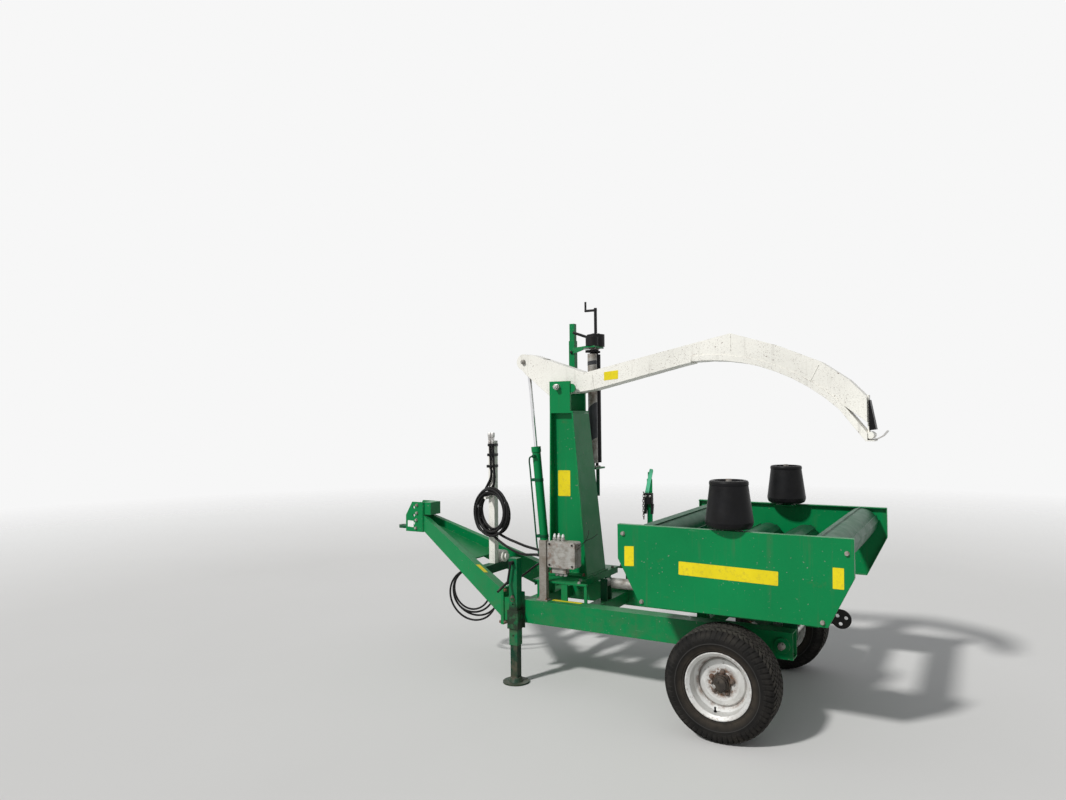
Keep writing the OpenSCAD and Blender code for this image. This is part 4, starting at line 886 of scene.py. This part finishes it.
# Bolts and nuts
def make_bolts(name, body, slot, across, axis, places, nuts=()):
    """Hexagon heads, or nuts on the sides in nuts. Without an axis they face outwards."""
    shape = Shape()
    for at in places:
        side = 1 if at[1] > 0 else -1
        shape.bolt(at, axis or (0, side, 0), across, nut=side in nuts)
    shape.piece(name, body, slot)


# The left side plate's bolts. The right plate's lie where these do when the table is turned half round.
CORNER_BOLTS = [(-537, 1042), (632, 1021), (-431, 676), (514, 676)]
for side, suffix in SIDES:
    make_bolts("side_plate_bolts_" + suffix, "table", "grey_metal", 19, None,
               [(x if side < 0 else 2 * TURN_X - x, side * TABLE_HALF, z) for x, z in CORNER_BOLTS])
FLANGE_HOLES = [(side * (BEAM_Y + across * 49), z) for side in BOTH for across in BOTH for z in (360, 568)]
PLATFORM_TOP = 640
CONE_Y = 680
CONE_TOP = 1338.4
make_bolts("mast_foot_bolts", "frame", "rusty_steel", 17, UP,
           [(x, side * 154, 652) for side in BOTH for x in (-1312, -1192, -1072)], BOTH)
make_bolts("platform_bolts", "frame", "grey_metal", 17, UP,
           [(x, side * y, PLATFORM_TOP) for x, y in ((-1018, 329), (-1049, 250)) for side in BOTH])
make_bolts("hitch_bolts", "frame", "grey_metal", 18, None,
           [(x, side * HEAD_HALF, z) for side in BOTH
            for x, z in ((-2513, 1039), (-2514, 979), (-2519, 926), (-2524, 865))], (1,))
for name, axis, x, nuts in (("bolts", FRONT, -1542, ()), ("nuts", REAR, -1520, BOTH)):
    make_bolts("drawbar_flange_" + name, "frame", "rusty_steel", 19, axis,
               [(x, y, z) for y, z in FLANGE_HOLES], nuts)
make_bolts("axle_saddle_nuts", "frame", "rusty_steel", 19, DOWN,
           [(x, side * BEAM_Y + across * 18, 368) for side in BOTH for x in (-119, 119) for across in BOTH],
           BOTH)
make_bolts("arm_pivot_nuts", "frame", "bright_steel", 30, None,
           [(-1268, side * 142, 1896) for side in BOTH], (-1,))
make_bolts("tip_shaft_nuts", "frame", "grey_metal", 32, None,
           [(250, side * 440, 450) for side in BOTH], BOTH)
make_bolts("lever_eye_bolts", "cutter_arm", "grey_metal", 28, None,
           [(-1567, side * ARM_HALF, 2080) for side in BOTH], (-1,))
make_bolts("arm_tip_bolts", "cutter_arm", "grey_metal", 10, UP, [(690, side * 18, 1547.2) for side in BOTH])
for side, suffix in SIDES:
    make_bolts("cone_top_nuts_" + suffix, "cone_" + suffix, "grey_metal", 30, UP,
               [(TURN_X, side * CONE_Y, CONE_TOP)])
make_bolts("valve_box_screws", "frame", "black_metal", 10, LEFT,
           [(x, -372, z) for x, z in ((-1206, 884), (-1044, 884), (-1206, 752), (-1044, 752))])
stand = Shape()
stand.bolt((-1279, -373, 530), UP, 15)
stand.bolt((-1222, -390, 530), UP, 10)
stand.piece("valve_stand_bolts", "frame", "rusty_steel")
make_bolts("film_clamp_bolts", "frame", "bright_steel", 13, LEFT, [(x, 530, 1118) for x in (-908, -874)])
post = Shape()
post.bolt((-1400, 347, 2168), LEFT, 19)
post.bolt((-1400, 347, 620), LEFT, 17)
post.piece("post_clamp_bolts", "frame", "black_metal")
SLEW_BOLT_R = 135
make_bolts("slew_bolts", "tipper", "grey_metal", 17, UP,
           [(TURN_X + SLEW_BOLT_R * math.cos(a), SLEW_BOLT_R * math.sin(a), 600)
            for a in (math.tau * k / 8 + 0.2 for k in range(8))])


# The (X, Y) of the two film rollers, and the heights of the brackets that hold them and of their gears
ROLLER_A = (-1209, 295)
ROLLER_B = (-1215, 370)
LOW_BRACKET = 1332
TOP_BRACKET = 2188
GEAR_ENDS = (2154, 2170)


def make_dispenser():
    """Flanged bearings, the gears that couple the two rollers, and what is stuck on the grey roller."""
    bearings = Shape()
    bolts = Shape()
    for x, y in (ROLLER_A, ROLLER_B):
        for z, way in ((LOW_BRACKET, 1), (TOP_BRACKET, -1)):
            bearings.lathe([(12, 0), (28, 0), (28, 4), (21, 5), (20, 9), (12, 9)], (x, y, z), (0, 0, way),
                           28, closed=True)
            for across in BOTH:
                bolts.bolt((x + across * 23, y, z + way * 4.6), (0, 0, way), 8, washer=False)
    bearings.piece("roller_bearings", "frame", "grey_metal")
    bolts.piece("roller_bearing_bolts", "frame", "bright_steel")
    towards_b = math.atan2(ROLLER_B[1] - ROLLER_A[1], ROLLER_B[0] - ROLLER_A[0])
    # Body, middle, teeth, pitch radius, angle of one tooth
    for body, (x, y), teeth, pitch, first in (("stretch_roller_a", ROLLER_A, 31, 45.7, towards_b),
                                              ("stretch_roller_b", ROLLER_B, 20, 29.5,
                                               towards_b + math.pi + math.pi / 20)):
        module = 2 * pitch / teeth
        outline = []
        for k in range(teeth):
            for part, height in ((-0.30, -1.2), (-0.13, 0.9), (0.13, 0.9), (0.30, -1.2)):
                angle = first + math.tau * (k + part) / teeth
                radius = pitch + height * module
                outline.append((x + radius * math.cos(angle), y + radius * math.sin(angle)))
        gear = Shape()
        gear.loft([[(x_at, y_at, z) for x_at, y_at in outline] for z in GEAR_ENDS])
        gear.lathe([(17, 0), (17, 7)], (x, y, 2147), UP, 24)
        gear.piece("gear_" + body[-1], body, "black_metal")
    stuck = Shape()
    x, y = ROLLER_A
    for z_low, z_high, start, stop, slant in ((1519, 1772, -200, 20, 26), (2064, 2092, -180, 179, 5)):
        rings = []
        for k in range(37):
            angle = math.radians(start + (stop - start) * k / 36)
            lift = slant * math.cos(angle)
            rings.append([(x + r * math.cos(angle), y + r * math.sin(angle), z)
                          for r, z in section(33.05, 34, z_low + lift, z_high + lift)])
        stuck.loft(rings)
    stuck.piece("stuck_film", "stretch_roller_a", "black_plastic", "film_grey")
    head = Shape()
    for dx in (-24, 24):
        for dy in (-24, 24):
            head.bolt((ROLLER_B[0] + dx, ROLLER_B[1] + dy, 2288.3), UP, 10, washer=False)
    head.piece("head_bolts", "frame", "bright_steel")


make_dispenser()

LIFT_FOOT = Vector((-1430, 0, 620))
LIFT_WAY = (Vector((-1567, 0, 2080)) - LIFT_FOOT).normalized()


def make_lift_pipe():
    """A rigid pipe along the lift cylinder from its upper port, held by two clips."""
    # Height up the cylinder, and X and Y from its middle
    along = [(806, 0, -44), (806, -5, -58), (796, -24, -58), (770, -40, -42), (740, -44, -34),
             (690, -45, -32), (600, -45, -32), (500, -45, -32), (400, -45, -32), (300, -45, -32),
             (210, -45, -32), (170, -42, -34), (140, -30, -46), (118, -24, -64)]
    points = [LIFT_FOOT + LIFT_WAY * t + Vector((x, y, 0)) for t, x, y in along]
    pipe = Shape()
    pipe.sweep(smooth(points, 4), 11, 12)
    pipe.lathe([(12, 0), (12, 12)], points[0], LEFT, 6)
    pipe.lathe([(11, -16), (11, -2), (9, 0)], points[-1], from_to(*points[-2:]), 6)
    pipe.piece("lift_pipe", "lift_cylinder", "dark_green_paint")
    clips = Shape()
    for t in (250, 640):
        middle = LIFT_FOOT + LIFT_WAY * t
        rings = []
        for k in range(36):
            angle = math.tau * k / 36
            out = 30.5 + 20 * max(0.0, math.cos(angle - math.radians(216))) ** 12
            x, y = math.cos(angle), math.sin(angle)
            rings.append([middle + LIFT_WAY * dz + Vector((x * r, y * r, 0))
                          for r, dz in section(out - 0.8, out + 2.2, -10, 10)])
        clips.loft(rings, closed=True)
    clips.piece("lift_pipe_clips", "lift_cylinder", "dark_green_paint")


make_lift_pipe()

UNION_Y = -327


def make_valve_trim():
    """Nuts and caps on the valve's unions, and the thin wires that lead off behind it."""
    nuts = Shape()
    caps = Shape()
    for k, x in enumerate((-1190, -1160, -1130)):
        nuts.lathe([(13.5, 0), (13.5, 11), (11.5, 12.5)], (x, UNION_Y, 906), UP, 6)
        caps.lathe([(9.5, 0), (9.5, 10), (8, 12)], (x, UNION_Y, 924.8), UP, 16)
        caps.lathe([(5.5, 0), (5.5, 9 + 3 * (k % 2))], (x, UNION_Y, 935), UP, 12)
    for x in (-1175, -1145, -1115):
        nuts.lathe([(13, 0), (13, 10)], (x, UNION_Y, 680), UP, 6)
    nuts.piece("valve_nuts", "frame", "bright_steel")
    caps.piece("valve_caps", "frame", "white_paint", "white_film")
    wires = Shape()
    for points in (((-1040, -330, 850), (-1015, -334, 862), (-975, -338, 900), (-950, -336, 944),
                    (-942, -334, 985)),
                   ((-1040, -322, 872), (-1010, -322, 884), (-970, -324, 912), (-925, -326, 934),
                    (-885, -328, 962))):
        wires.sweep(smooth(points, 5), 3.4, 8)
    wires.piece("valve_wires", "frame", "black_plastic")


make_valve_trim()

BEAD_STEP = 4
RIPPLE = 0.7


def weld(shape, start, end, width):
    """A straight bead with small ripples."""
    run = from_to(start, end)
    count = max(2, round(run.length / BEAD_STEP))
    side = run.normalized().orthogonal().normalized()
    other = run.normalized().cross(side)
    rings = []
    for i in range(count + 1):
        radius = width / 2 + (RIPPLE if i % 2 else -RIPPLE)
        rings.append(ring(Vector(start) + run * (i / count), side, other, radius, 8))
    shape.loft(rings)


def make_welds():
    on_arm = Shape()
    on_frame = Shape()
    for side in BOTH:
        y = side * (ARM_HALF - 0.4)
        weld(on_arm, (-1038, y, 1971), (-1024, y, 1877), 6)
        weld(on_arm, (402, y, 1979), (351, y, 1883), 6)
        weld(on_arm, (-107, y, 2186), (-107, y, 2086), 5)
        for y in (BEAM_Y - 40, BEAM_Y + 40):
            weld(on_frame, (-1530, side * y, 376), (-1530, side * y, BEAM_TOP), 7)
        weld(on_frame, (-1340, side * 104, 652.5), (-1200, side * 104, 652.5), 7)
        weld(on_frame, (-1455, side * 320.5, 476), (-1425, side * 320.5, 476), 6)
    on_arm.piece("arm_welds", "cutter_arm", "white_paint")
    on_frame.piece("frame_welds", "frame", "green_paint")


make_welds()

LINK_STEP = 17.5


def make_clamp_trim():
    """The bright lever of the film clamp and the chain that hangs from it."""
    lever = Shape()
    outline = [(-925, 1134), (-893, 1134), (-880, 1200), (-858, 1300), (-862, 1312), (-884, 1314),
               (-902, 1240), (-912, 1190)]
    lever.loft([[(x, y, z) for x, z in outline] for y in (552, 557)])
    lever.rod((-906, 550, 1150), (-906, 568, 1150), 16)
    lever.piece("clamp_lever", "frame", "green_paint", "lever_paint", bevel=1.0)
    chain = Shape()
    for k in range(11):
        middle = Vector((-930 - 5 * math.sin(k * 0.28), 548, 1134 - LINK_STEP * k))
        chain.link(middle, REAR if k % 2 else RIGHT, 6.5, 12, 4.2, 16)
    chain.rod((-930, 548, 1146), (-930, 534, 1146), 6)
    chain.piece("clamp_chain", "frame", "rusty_steel")


make_clamp_trim()


def make_jack_pin():
    """The pin that holds the jack's sleeve, with its ring."""
    pin = Shape()
    pin.lathe([(6.8, -4), (6.8, 2), (10.5, 3), (10.5, 9), (8.5, 11)], (-1412, -486, 550), LEFT, 20)
    pin.link(Vector((-1412, -493.5, 535)), REAR, 15, 15, 3.6, 28)
    pin.piece("jack_pin", "frame", "rusty_steel")


make_jack_pin()
